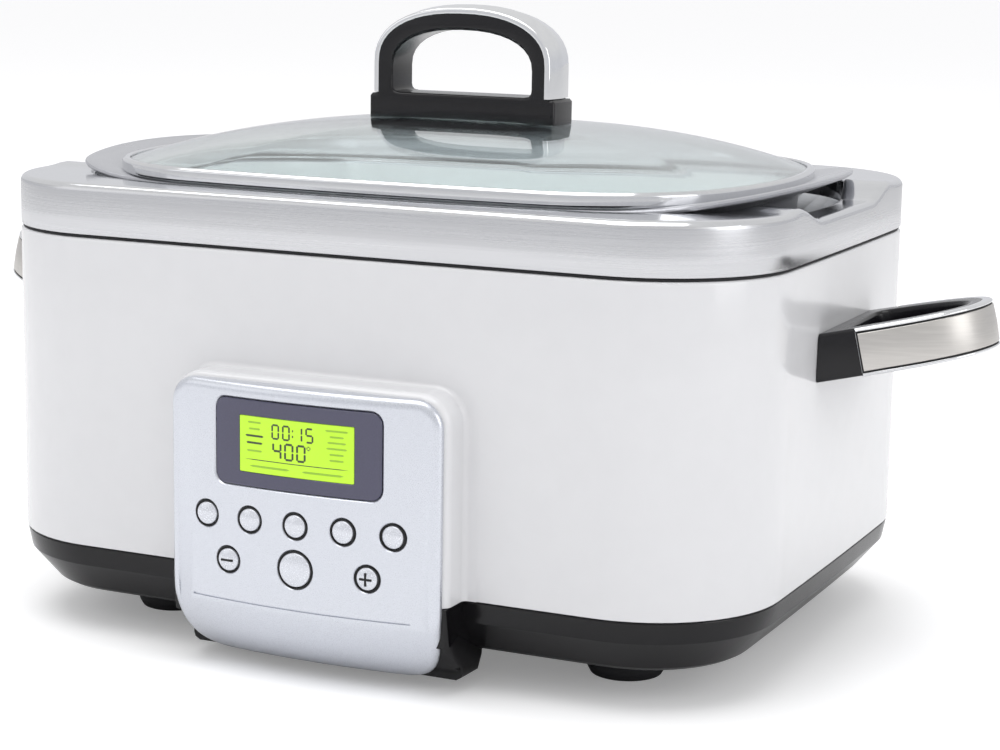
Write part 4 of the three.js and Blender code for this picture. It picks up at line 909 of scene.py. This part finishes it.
# Compression-moulded phenolic: near black and glossy, with a very fine orange peel.
phenolic, tree, shader = finish("gloss_black_phenolic", Base_Color=linear("#0E0D11"), Roughness=0.16,
                                IOR=1.42)
peel = add(tree, "ShaderNodeTexNoise",
           {"Vector": object_space(tree, (1, 1, 1)), "Scale": 700.0, "Detail": 2.0})
tree.links.new(blend_colours(tree, peel.outputs["Fac"], "#0C0B0F", "#121115"), shader.inputs["Base Color"])
tree.links.new(ranged(tree, peel.outputs["Fac"], 0.15, 0.25), shader.inputs["Roughness"])
bumped(tree, shader, peel.outputs["Fac"], 0.12, 0.00006)

shoulder = KNOB_HIGH - 25
knob_outline = arch_line(0, STEP_Z, shoulder)
knob_outline = ([(-FOOT_HALF, STEP_Z - 1.2), (-FOOT_HALF + 1.2, STEP_Z)] + knob_outline
                + [(FOOT_HALF - 1.2, STEP_Z), (FOOT_HALF, STEP_Z - 1.2)])
# The foot's underside follows the dome.
knob_outline += [(x, dome_z(x, 0) + 0.1) for x in (FOOT_HALF, 40, 32, 20, 0, -20, -32, -40, -FOOT_HALF)]
sill, lintel = STEP_Z + 0.8, KNOB_HIGH - 9.2
knob_hole = [(-35.8 + 3 * (1 - math.cos(a)), sill + 3 * (1 - math.sin(a))) for a in (0, 0.5, 1.0)]
knob_hole += [(-32, sill), (32, sill)]
knob_hole += [(35.8 - 3 * (1 - math.cos(a)), sill + 3 * (1 - math.sin(a))) for a in (1.0, 0.5, 0)]
for i in range(19):
    a = math.pi * i / 18
    knob_hole.append((35.8 * math.copysign(abs(math.cos(a)) ** (2 / 2.3), math.cos(a)),
                      shoulder - 2 + (lintel - shoulder + 2) * math.sin(a) ** (2 / 2.3)))
upright = Matrix(((1, 0, 0, 0), (0, 0, -1, MID_Y * MM), (0, 1, 0, 0), (0, 0, 0, 1)))
knob = plate_of("lid_handle_moulding", knob_outline, knob_hole, ARCH_THICK, 1.6, upright)
settle(knob, phenolic, "lid", "handle_black", "lid_handle")

# ---- Handle strap ------------------------------------------------------------
# A crowned strap of chromed steel bent over the arch and clipped down to the foot on both sides.

chrome, tree, shader = finish("bright_chrome_plate", Base_Color=linear("#E2E3E5"), Metallic=1.0,
                              Roughness=0.05)
haze = add(tree, "ShaderNodeTexNoise",
           {"Vector": object_space(tree, (1, 1, 1)), "Scale": 220.0, "Detail": 4.0})
tree.links.new(ranged(tree, haze.outputs["Fac"], 0.03, 0.1), shader.inputs["Roughness"])
tree.links.new(blend_colours(tree, haze.outputs["Fac"], "#DCDDE0", "#E8E9EA"), shader.inputs["Base Color"])
bumped(tree, shader, haze.outputs["Fac"], 0.04, 0.00004)

strap_low, strap_high = [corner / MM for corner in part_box("handle_strap")]
STRAP_HALF = (strap_high.y - strap_low.y) / 2 + 2.2
strap_line = arch_line(-0.4, STEP_Z + 0.5, shoulder)
strap_rings = []
crown = rounded([(-STRAP_HALF, -1.2, 0.2), (-STRAP_HALF, 1.3, 1.2), (0, 3.0, 14), (STRAP_HALF, 1.3, 1.2),
                 (STRAP_HALF, -1.2, 0.2)], 6)
for i, (x, z) in enumerate(strap_line):
    before, after = strap_line[max(i - 1, 0)], strap_line[min(i + 1, len(strap_line) - 1)]
    along = Vector((after[0] - before[0], after[1] - before[1])).normalized()
    normal = Vector((-along.y, along.x))
    strap_rings.append([(x + normal.x * h, y, z + normal.y * h) for y, h in crown])
settle(skin("handle_strap_bent", strap_rings, False, 40), chrome, "lid", "chrome_trim", "handle_strap")

# ---- Lid screws --------------------------------------------------------------
# Two domed stainless screws with a washer come up through the glass into the foot of the handle.

screws = []
for side in (-1, 1):
    low, high = [corner.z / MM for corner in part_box("lid_screw_left" if side < 0 else "lid_screw_right")]
    seat = dome_z(34, 0) - GLASS
    dome_screw = rounded([(0.01, low, 0), (3.4, low, 2.6), (5.4, seat - 1.4, 0.6), (7.2, seat - 1.2, 0.3),
                          (7.2, seat - 0.2, 0.2), (2, seat - 0.2, 0), (2, high, 0), (0.01, high, 0)], 5,
                          False)
    screws.append((turned("lid_screw", dome_screw, (side * 34, 0)), zinc))
settle(merged("lid_screw_pair", screws), None, "lid", "screw_steel", "lid_screw_left", "lid_screw_right")

# ---- Side handles ------------------------------------------------------------
# Each is a black phenolic loop bolted to the wall and tipped up, with a finger opening.
# A polished steel frame wraps round its outside and holds a satin steel inlay.

HANDLE_Z, HANDLE_TALL, REACH, HANDLE_HALF, BLOCK = 139.7, 20.8, 66.2, 41, 14
TILT = math.radians(13)


def bezier(points, steps):
    """A cubic curve without its first point."""
    a, b, c, d = [Vector(p) for p in points]
    out = []
    for i in range(1, steps + 1):
        t = i / steps
        p = a * (1 - t) ** 3 + b * 3 * t * (1 - t) ** 2 + c * 3 * t * t * (1 - t) + d * t ** 3
        out.append((p.x, p.y))
    return out


def grip_line(outset, start):
    """The outside of the loop from above, from the wall round the tip and back."""
    half = HANDLE_HALF + outset - 3
    reach = REACH + outset
    line = [(start, -HANDLE_HALF - outset), (BLOCK, -half), (reach * 0.3, -half + 1),
            (reach * 0.45, -half + 2.5)]
    line += bezier([line[-1], (reach * 0.8, -half + 7), (reach, -half * 0.5), (reach, 0)], 16)
    return line + [(x, -y) for x, y in reversed(line[:-1])]


def tipped(side):
    """From the loop's own plane to its place on a side wall, in metres."""
    c, s = math.cos(TILT), math.sin(TILT)
    return Matrix((
        (side * c, 0, -side * s, side * HALF_X * MM), (0, side, 0, MID_Y * MM), (s, 0, c, HANDLE_Z * MM),
        (0, 0, 0, 1)))


def grip_sweep(name, section, start, matrix):
    """A section of (outset, height) points swept round the loop's outside."""
    path = grip_line(0, -6)
    path = [(start, -HANDLE_HALF + 3)] + [p for p in path if p[0] > start + 1] + [(start, HANDLE_HALF - 3)]
    rings = []
    for i, (x, y) in enumerate(path):
        before, after = path[max(i - 1, 0)], path[min(i + 1, len(path) - 1)]
        along = Vector((after[0] - before[0], after[1] - before[1])).normalized()
        rings.append([(x + along.y * out, y - along.x * out - MID_Y, z) for out, z in section])
    piece = skin(name, rings, False, 40)
    piece.data.transform(matrix)
    return piece


# Satin steel: fine brushing lines that run along the inlay.
satin, tree, shader = finish("satin_steel_inlay", Base_Color=linear("#C9C6C2"), Metallic=1.0, Roughness=0.36)
rubbed = add(tree, "ShaderNodeTexNoise",
             {"Vector": object_space(tree, (60, 60, 1500)), "Scale": 1.0, "Detail": 3.0})
tree.links.new(blend_colours(tree, rubbed.outputs["Fac"], "#BDBAB6", "#D3D0CC"), shader.inputs["Base Color"])
tree.links.new(ranged(tree, rubbed.outputs["Fac"], 0.3, 0.44), shader.inputs["Roughness"])
bumped(tree, shader, rubbed.outputs["Fac"], 0.1, 0.00004)

frame_section = rounded([
    (-2.5, -10.5, 0.1), (1.0, -10.5, 1.2), (2.0, -9.6, 0.4), (1.7, -9.0, 0.2), (0.6, -9.0, 0.1),
    (0.6, 9.0, 0.1),
    (1.7, 9.0, 0.2), (2.0, 9.6, 0.4), (1.0, 10.5, 1.2), (-2.5, 10.5, 0.1)], 3)
gap_section = rounded([(0.5, -8.95, 0.1), (1.3, -8.95, 0.1), (1.3, 8.95, 0.1), (0.5, 8.95, 0.1)], 2)
inlay_section = rounded([(1.0, -8.2, 0.1), (1.9, -8.2, 0.5), (2.2, 0, 0), (1.9, 8.2, 0.5), (1.0, 8.2, 0.1)],
                        3)
far = REACH - 8.5
opening = [(15, -27), (far * 0.45, -25.5)]
opening += bezier([opening[-1], (far * 0.8, -22), (far, -13.5), (far, 0)], 12)
opening += [(x, -y) for x, y in reversed(opening[:-1])]
opening += [(10 + 5 - 5 * math.sin(math.radians(a)), 22 + 5 * math.cos(math.radians(a))) for a in (30, 60,
                                                                                                   90)]
opening += [(10 + 5 - 5 * math.cos(math.radians(a)), -22 - 5 * math.sin(math.radians(a))) for a in (0, 30,
                                                                                                    60)]
for side, word in ((-1, "left"), (1, "right")):
    to_wall = tipped(side)
    loop = plate_of(word + "_handle_loop", list(reversed(grip_line(0, -6))), opening, HANDLE_TALL / 2, 2,
                    to_wall)
    cut_by(loop, skin("wall", [ring(BODY, -0.2, 60), ring(BODY, -0.2, 181)], False), 40)
    settle(loop, phenolic, "cooker", "handle_black", word + "_handle_bracket")
    trim = merged(word + "_handle_trim", [
        (grip_sweep("frame", frame_section, BLOCK + 4, to_wall), chrome),
        (grip_sweep("gap", gap_section, BLOCK + 4.2, to_wall), epdm),
        (grip_sweep("inlay", inlay_section, BLOCK + 5.2, to_wall), satin)])
    settle(trim, None, "cooker", "chrome_trim", word + "_handle_plate")
    dress(word + "_handle_screw_front", zinc)
    dress(word + "_handle_screw_rear", zinc)

# ---- Control panel -----------------------------------------------------------
# A bowed fascia of silver-lacquered ABS that curls under the body at its chin.
# It is made flat, pierced for the display and the buttons, and bent to shape.

face_arc = [(0.0, 0.0)]
for i in range(1, 61):
    (y0, z0), (y1, z1) = chin((i - 1) / 60), chin(i / 60)
    face_arc.append((face_arc[-1][0] + math.hypot(y1 - y0, z1 - z0), i / 60))
CHIN_LENGTH = face_arc[-1][0]


def panel_normal(x, s):
    """The fascia's outward direction, and its setback and height, s mm along it from the chin."""
    slope = 2 * BOW * x / PANEL_HALF ** 2
    if s >= 0:
        back_by, z, ty, tz = 0.0, CHIN_START + s, 0.0, 1.0
    else:
        down = min(-s, CHIN_LENGTH)
        k = next(i for i, (length, _) in enumerate(face_arc) if length >= down - 1e-9)
        k = max(k, 1)
        (l0, t0), (l1, t1) = face_arc[k - 1], face_arc[k]
        t = t0 + (t1 - t0) * (down - l0) / (l1 - l0)
        back_by, z = chin(t)
        dy = 2 * (1 - 2 * t) * CHIN_LEAN + 2 * t * CHIN_DEPTH
        dz = -2 * (1 - t) * CHIN_START + 2 * (1 - 2 * t) * CHIN_BEND + 2 * t * PANEL_BOTTOM
        ty, tz = -dy / math.hypot(dy, dz), -dz / math.hypot(dy, dz)
        z -= (-s - down)
    return Vector((slope * tz, -tz, ty)).normalized(), back_by, z


def face_y(x):
    """How far forward the bowed fascia stands."""
    return PANEL_EDGE - BOW * (1 - (x / PANEL_HALF) ** 2)


def bent(piece, sharp=32):
    """A flat piece (x, depth behind the face, height above the chin) bent to the fascia's shape."""
    mesh = piece.data
    work = bmesh.new()
    work.from_mesh(mesh)
    low, high = (min(v.co.x for v in work.verts), max(v.co.x for v in work.verts))
    for i in range(math.ceil(low / MM / 4), math.ceil(high / MM / 4)):
        bmesh.ops.bisect_plane(work, geom=work.verts[:] + work.edges[:] + work.faces[:], dist=1e-7,
                               plane_co=(i * 4 * MM, 0, 0), plane_no=(1, 0, 0))
    if min(v.co.z for v in work.verts) < 0:
        for i in range(1, 18):
            bmesh.ops.bisect_plane(work, geom=work.verts[:] + work.edges[:] + work.faces[:], dist=1e-7,
                                   plane_co=(0, 0, -i * 2 * MM), plane_no=(0, 0, 1))
    front = {}
    for vert in work.verts:
        x, d, s = vert.co.x / MM, vert.co.y / MM - MID_Y, vert.co.z / MM
        normal, back_by, z = panel_normal(x, s)
        if d > 50:
            stop = POD_FRONT - 0.3 - face_y(x)
            d = 3 + (stop - 3) * eased(s, -8, 0)
        vert.co = Vector((x, face_y(x) + back_by + MID_Y, z)) * MM - normal * (d * MM)
        front[vert.index] = (d, normal)
    work.to_mesh(mesh)
    work.free()
    mesh.shade_smooth()
    mesh.set_sharp_from_angle(angle=math.radians(sharp))
    mesh.update()
    normals = [Vector(n.vector) for n in mesh.corner_normals]
    for face in mesh.polygons:
        depths = [front[v][0] for v in face.vertices]
        if max(depths) - min(depths) < 0.01 and face.normal.dot(front[face.vertices[0]][1]) > 0.9:
            for corner in face.loop_indices:
                normals[corner] = front[mesh.loops[corner].vertex_index][1]
    mesh.normals_split_custom_set(normals)


def shape_rings(lines, depths):
    """Flat outlines in (x, height above the chin), each at its own depth."""
    return [[(x, depth, z) for x, z in line] for line, depth in zip(lines, depths)]


def fascia(inset):
    """The fascia's flat outline, round at the top and drawn in at the hips."""
    half, top = PANEL_HALF - inset, PANEL_TOP - CHIN_START - inset
    low = -CHIN_LENGTH + inset
    radius = 12 - inset
    line = [(0, low), (half - 24 + inset, low)]
    line += bezier([(half - 24 + inset, low), (half - 6, low), (half, low + 20), (half, low + 44)], 18)
    for i in range(11):
        a = math.pi / 2 * i / 10
        line.append((half - radius + radius * math.cos(a), top - radius + radius * math.sin(a)))
    line.append((0, top))
    return line + [(-x, z) for x, z in reversed(line[1:-1])]


def rect(half, bottom, top, radius, steps=5):
    """A rectangle in (x, height above the chin) with round corners."""
    return rounded([(-half, bottom - CHIN_START, radius), (half, bottom - CHIN_START, radius),
                    (half, top - CHIN_START, radius), (-half, top - CHIN_START, radius)], steps)


# Silver lacquer: fine aluminium flake under a clear coat.
silver, tree, shader = finish("silver_lacquer", Base_Color=linear("#D2D5DC"), Metallic=0.85, Roughness=0.26,
                              Coat_Weight=0.5, Coat_Roughness=0.05)
flake = add(tree, "ShaderNodeTexVoronoi", {"Vector": object_space(tree, (1, 1, 1)), "Scale": 2600.0})
# Real flakes are 0.03 mm across; they are drawn 0.4 mm across, so that they still show.
tree.links.new(blend_colours(tree, flake.outputs["Distance"], "#CBCED6", "#D9DCE3"),
               shader.inputs["Base Color"])
tree.links.new(ranged(tree, flake.outputs["Distance"], 0.24, 0.36), shader.inputs["Roughness"])
bumped(tree, shader, flake.outputs["Distance"], 0.05, 0.00003)

BEZEL_HALF, BEZEL_LOW, BEZEL_HIGH = 39.9, 85.5, 122.8
KEY_PITCH, ROW_Z, LOWER_Z, PLUS_X = 22.4, 70.9, 52, 33.5
KEY_RADIUS, START_RADIUS = 4.9, 7.4
key_list = [("button_%d" % (i + 3), i * KEY_PITCH, ROW_Z, KEY_RADIUS) for i in (-2, -1, 0, 1, 2)]
key_list += [("button_minus", -PLUS_X, LOWER_Z, KEY_RADIUS), ("button_plus", PLUS_X, LOWER_Z, KEY_RADIUS),
             ("button_start", 0, LOWER_Z, START_RADIUS)]

edge = [(4.2, 0.0)]
for i in range(1, 9):
    a = math.radians(90 * i / 8)
    edge.append((3.6 * (1 - math.sin(a)), 2.9 * (1 - math.cos(a))))
insets = [inset for inset, _ in edge] + [0, 2.4, 2.6]
depths = [depth for _, depth in edge] + [99, 99, 2.5]
flat_panel = skin("fascia", shape_rings([fascia(inset) for inset in insets], depths), False)
for name, x, z, radius in key_list:
    hole = [(radius + 1.5, -2), (radius + 1.5, 0.0), (radius + 1.1, 0.4), (radius + 1.1, 9)]
    cut_by(flat_panel, turned("hole", hole, (x, z - CHIN_START), "y"))
window = shape_rings([rect(BEZEL_HALF + grow, BEZEL_LOW - grow, BEZEL_HIGH + grow, 5 + grow)
                      for grow in (1.2, 0.9, 0.3, 0.3)], [-1, 0, 0.7, 9])
cut_by(flat_panel, skin("window", window, False))
groove = shape_rings([rect(52.7 - k, 33.9 + k, 34.8 - k, 0.42 - k) for k in (0, 0, 0.2)], [-1, 0.5, 0.8])
cut_by(flat_panel, skin("groove", groove, False))
bent(flat_panel, 34)
settle(flat_panel, silver, "cooker", "silver_panel", "control_panel")

# ---- Display -----------------------------------------------------------------
# A slate-blue printed bezel round a yellow-green liquid-crystal window, both under the same bow.
# The window shows a time and a temperature in seven-segment figures.

slate, tree, shader = finish("slate_printed_acrylic", Base_Color=linear("#45445A"), Roughness=0.12, IOR=1.49,
                             Coat_Weight=0.4)
print_dots = add(tree, "ShaderNodeTexNoise", {"Vector": object_space(tree, (1, 1, 1)), "Scale": 1200.0})
tree.links.new(blend_colours(tree, print_dots.outputs["Fac"], "#424157", "#49485F"),
               shader.inputs["Base Color"])
tree.links.new(ranged(tree, print_dots.outputs["Fac"], 0.1, 0.16), shader.inputs["Roughness"])

SCREEN_HALF, SCREEN_LOW, SCREEN_HIGH = 27.6, 91.6, 116.1
bezel_lines = [rect(BEZEL_HALF, BEZEL_LOW, BEZEL_HIGH, 5), rect(BEZEL_HALF, BEZEL_LOW, BEZEL_HIGH, 5),
               rect(BEZEL_HALF - 0.4, BEZEL_LOW + 0.4, BEZEL_HIGH - 0.4, 4.6),
               rect(SCREEN_HALF + 0.2, SCREEN_LOW - 0.2, SCREEN_HIGH + 0.2, 0.8),
               rect(SCREEN_HALF, SCREEN_LOW, SCREEN_HIGH, 0.6),
               rect(SCREEN_HALF, SCREEN_LOW, SCREEN_HIGH, 0.6)]
bezel = skin("display_bezel_frame", shape_rings(bezel_lines, [2.4, 0.6, 0.2, 0.2, 0.4, 2.4]), True)
bent(bezel)
settle(bezel, slate, "cooker", "slate_bezel", "display_bezel")

# Backlit liquid crystal: an even yellow-green glow behind a clear front.
lime, tree, shader = finish("backlit_liquid_crystal", Base_Color=linear("#B4E31E"), Roughness=0.15,
                            Coat_Weight=0.5)
cell = add(tree, "ShaderNodeTexNoise", {"Vector": object_space(tree, (1, 1, 1)), "Scale": 40.0})
glow_colour = blend_colours(tree, cell.outputs["Fac"], "#AFDF1C", "#B9E726")
tree.links.new(glow_colour, shader.inputs["Base Color"])
tree.links.new(glow_colour, shader.inputs["Emission Color"])
shader.inputs["Emission Strength"].default_value = 0.25

dark, tree, shader = finish("dark_liquid_crystal", Base_Color=linear("#2C3A14"), Roughness=0.3,
                            Coat_Weight=0.5)
cell = add(tree, "ShaderNodeTexNoise", {"Vector": object_space(tree, (1, 1, 1)), "Scale": 900.0})
tree.links.new(blend_colours(tree, cell.outputs["Fac"], "#27340F", "#334418"), shader.inputs["Base Color"])


faint, tree, shader = finish("unlit_liquid_crystal", Base_Color=linear("#93C11C"), Roughness=0.3,
                             Coat_Weight=0.5)
cell = add(tree, "ShaderNodeTexNoise", {"Vector": object_space(tree, (1, 1, 1)), "Scale": 900.0})
tree.links.new(blend_colours(tree, cell.outputs["Fac"], "#8DBB18", "#99C722"), shader.inputs["Base Color"])


def segment_stamp():
    """Instances of one six-sided bar, each turned and stretched by its point's own values."""
    tree = bpy.data.node_groups.new("segment_stamp", "GeometryNodeTree")
    tree.interface.new_socket("Geometry", in_out="INPUT", socket_type="NodeSocketGeometry")
    tree.interface.new_socket("Geometry", in_out="OUTPUT", socket_type="NodeSocketGeometry")
    for name, kind in (("Bar", "NodeSocketObject"), ("Material", "NodeSocketMaterial")):
        tree.interface.new_socket(name, in_out="INPUT", socket_type=kind)
    given = add(tree, "NodeGroupInput").outputs
    turn = add(tree, "GeometryNodeInputNamedAttribute", {"Name": "turn"}, data_type="FLOAT_VECTOR")
    stretch = add(tree, "GeometryNodeInputNamedAttribute", {"Name": "stretch"}, data_type="FLOAT_VECTOR")
    model = add(tree, "GeometryNodeObjectInfo", {"Object": given["Bar"]})
    spread = add(tree, "GeometryNodeInstanceOnPoints", {
        "Points": given["Geometry"], "Instance": model.outputs["Geometry"],
        "Rotation": turn.outputs["Attribute"], "Scale": stretch.outputs["Attribute"]})
    real = add(tree, "GeometryNodeRealizeInstances", {"Geometry": spread.outputs["Instances"]})
    dressed = add(tree, "GeometryNodeSetMaterial", {
        "Geometry": real.outputs["Geometry"], "Material": given["Material"]})
    add(tree, "NodeGroupOutput", {"Geometry": dressed.outputs["Geometry"]})
    return tree


LIT = {0: "abcdef", 1: "bc", 4: "bcfg", 5: "acdfg"}
bars = []


def figure(digit, x, z, wide, tall, thick):
    """The lit bars of one figure: centre, whether upright, length and thickness."""
    half, quarter = wide / 2, tall / 4
    spots = {"a": (0, 2 * quarter, 0), "g": (0, 0, 0), "d": (0, -2 * quarter, 0), "f": (-half, quarter, 1),
             "b": (half, quarter, 1), "e": (-half, -quarter, 1), "c": (half, -quarter, 1)}
    for letter in LIT[digit]:
        dx, dz, upright = spots[letter]
        bars.append((x + dx, z + dz, upright, tall / 2 if upright else wide, thick))


for digit, x in ((0, -9.6), (0, -4.4), (1, 1.6), (5, 6.8)):
    figure(digit, x, 110.4, 3.0, 5.8, 0.8)
for z in (109.2, 111.6):
    bars.append((-1.2, z, 0, 0.9, 0.9))
for digit, x in ((4, -8.8), (0, -3.0), (0, 2.8)):
    figure(digit, x, 102.3, 3.6, 6.6, 0.95)
bars += [(6.4, 105.6, 0, 1.1, 0.4), (6.4, 104.2, 0, 1.1, 0.4), (5.7, 104.9, 1, 1.1, 0.4),
         (7.1, 104.9, 1, 1.1, 0.4)]
bars += [(0, 97.4, 0, 50, 0.35)]
bars += [(-20, z, 0, length, 0.9) for z, length in ((107.6, 9.5), (104.6, 8.5))]
faint_bars = [(-20, z, 0, length, 0.8) for z, length in ((113.4, 7), (110.6, 6), (101.2, 8))]
faint_bars += [(19.5, z, 0, length, 0.8)
               for z, length in ((113.4, 11), (110.9, 7), (108.4, 9), (105.9, 10), (103.4, 7), (100.9, 7))]
faint_bars += [(x, 94.6, 0, 20, 0.9) for x in (-12.5, 13)]


def stamped(name, marks, material):
    """Marks of (x, z, upright, length, thickness) as raised bars on the window."""
    points = bpy.data.meshes.new(name)
    points.from_pydata([(x * MM, (MID_Y + 0.42) * MM, (z - CHIN_START) * MM) for x, z, _, _, _ in marks],
                       [], [])
    turns = points.attributes.new("turn", "FLOAT_VECTOR", "POINT")
    stretches = points.attributes.new("stretch", "FLOAT_VECTOR", "POINT")
    for k, (_, _, upright, length, thick) in enumerate(marks):
        turns.data[k].vector = (0, math.pi / 2 if upright else 0, 0)
        stretches.data[k].vector = ((length - thick * 0.35) * MM, 0.1 * MM, thick * MM)
    bar = bpy.data.objects.new("bar", bpy.data.meshes.new("bar"))
    hexagon = [(-0.5, 0), (-0.42, -0.5), (0.42, -0.5), (0.5, 0), (0.42, 0.5), (-0.42, 0.5)]
    bar.data.from_pydata(
        [(x, -0.5, z) for x, z in hexagon] + [(x, 0.5, z) for x, z in hexagon], [],
        [tuple(range(6)), tuple(reversed(range(6, 12)))]
        + [(i, i + 6, (i + 1) % 6 + 6, (i + 1) % 6) for i in range(6)])
    scene.collection.objects.link(bar)
    piece = grown(name, stamp_tree, {"Bar": bar, "Material": material}, points)
    bpy.data.objects.remove(bar)
    bent(piece)
    return piece


stamp_tree = segment_stamp()
pane_lines = [rect(SCREEN_HALF - 0.2, SCREEN_LOW + 0.2, SCREEN_HIGH - 0.2, 0.5)] * 2
lcd = skin("lcd", shape_rings(pane_lines, [0.4, 1.8]), False)
bent(lcd)
settle(merged("display_window", [
    (lcd, lime), (stamped("lit_bars", bars, dark), dark),
    (stamped("faint_bars", faint_bars, faint), faint)]), None, "cooker", "display_lens", "display_lens")

# ---- Button collars ----------------------------------------------------------
# One black ABS moulding behind the fascia; its eight collars come through and guide the buttons. Their thin
# black fronts in the gap round each cap are painted shade for that shadowed gap.

CARRIER_BACK = POD_FRONT + 5
collars = []
for name, x, z, radius in key_list:
    face = face_y(x)
    # The collar's black front fills the gap round the cap: painted shade.
    profile = rounded([
        (radius + 1.0, CARRIER_BACK - 1, 0), (radius + 1.0, face - 0.05, 0.25),
        (radius + 0.3, face + 0.25, 0.2),
        (radius + 0.15, face + 1, 0), (radius + 0.15, CARRIER_BACK - 1, 0)], 3)
    rings = []
    for r, y in profile:
        rings.append([(x + r * math.cos(math.tau * i / 48), y, z + r * math.sin(math.tau * i / 48))
                      for i in range(48)])
    collars.append((skin("collar", rings, True), black_abs))
settle(merged("button_collars", collars), None, "cooker", "black_base", "key_carrier")

# ---- Buttons -----------------------------------------------------------------
# Eight silver-lacquered domed caps. The two beside the start button carry a minus and a plus sign.

# Painted caps: the fascia's lacquer in a lighter, smoother coat.
cap_silver, tree, shader = finish("button_silver_lacquer", Base_Color=linear("#D8DAE0"), Metallic=0.45,
                                  Roughness=0.24, Coat_Weight=0.6, Coat_Roughness=0.05)
flake = add(tree, "ShaderNodeTexVoronoi", {"Vector": object_space(tree, (1, 1, 1)), "Scale": 2600.0})
tree.links.new(blend_colours(tree, flake.outputs["Distance"], "#CFD2DA", "#E1E3E9"),
               shader.inputs["Base Color"])
tree.links.new(ranged(tree, flake.outputs["Distance"], 0.2, 0.3), shader.inputs["Roughness"])
bumped(tree, shader, flake.outputs["Distance"], 0.04, 0.00003)

for name, x, z, radius in key_list:
    face = face_y(x) - 0.9
    profile = [(0.01, CARRIER_BACK + 0.8), (radius + 1.2, CARRIER_BACK + 0.8),
               (radius + 1.2, CARRIER_BACK + 0.3),
               (radius, CARRIER_BACK + 0.3), (radius, face + 1.3)]
    for i in range(1, 5):
        a = math.radians(i * 18)
        profile.append((radius - 0.8 * (1 - math.cos(a)), face + 1.3 - 0.8 * math.sin(a)))
    for i in range(1, 8):
        share = 1 - i / 8
        profile.append(((radius - 0.55) * share, face + 0.45 - 0.9 * (1 - share ** 2)))
    profile.append((0.01, face - 0.45))
    cap = turned(name + "_cap_dome", profile, (x, z), "y")
    parts = [(cap, cap_silver)]
    if name in ("button_minus", "button_plus"):
        strokes = [(2.9, 0.5)] + ([(0.5, 2.9)] if name == "button_plus" else [])
        for lift, (half_wide, half_tall) in enumerate(strokes):
            stroke = rounded([(x - half_wide, z - half_tall, 0.2), (x + half_wide, z - half_tall, 0.2),
                              (x + half_wide, z + half_tall, 0.2), (x - half_wide, z + half_tall, 0.2)], 3)
            parts.append((skin("stroke", [[(px, face - 0.5 - 0.01 * lift, pz) for px, pz in stroke],
                                          [(px, face - 0.2, pz) for px, pz in stroke]], False), black_abs))
    settle(merged(name + "_cap_painted", parts), None, name + "_cap", "button_silver", name)
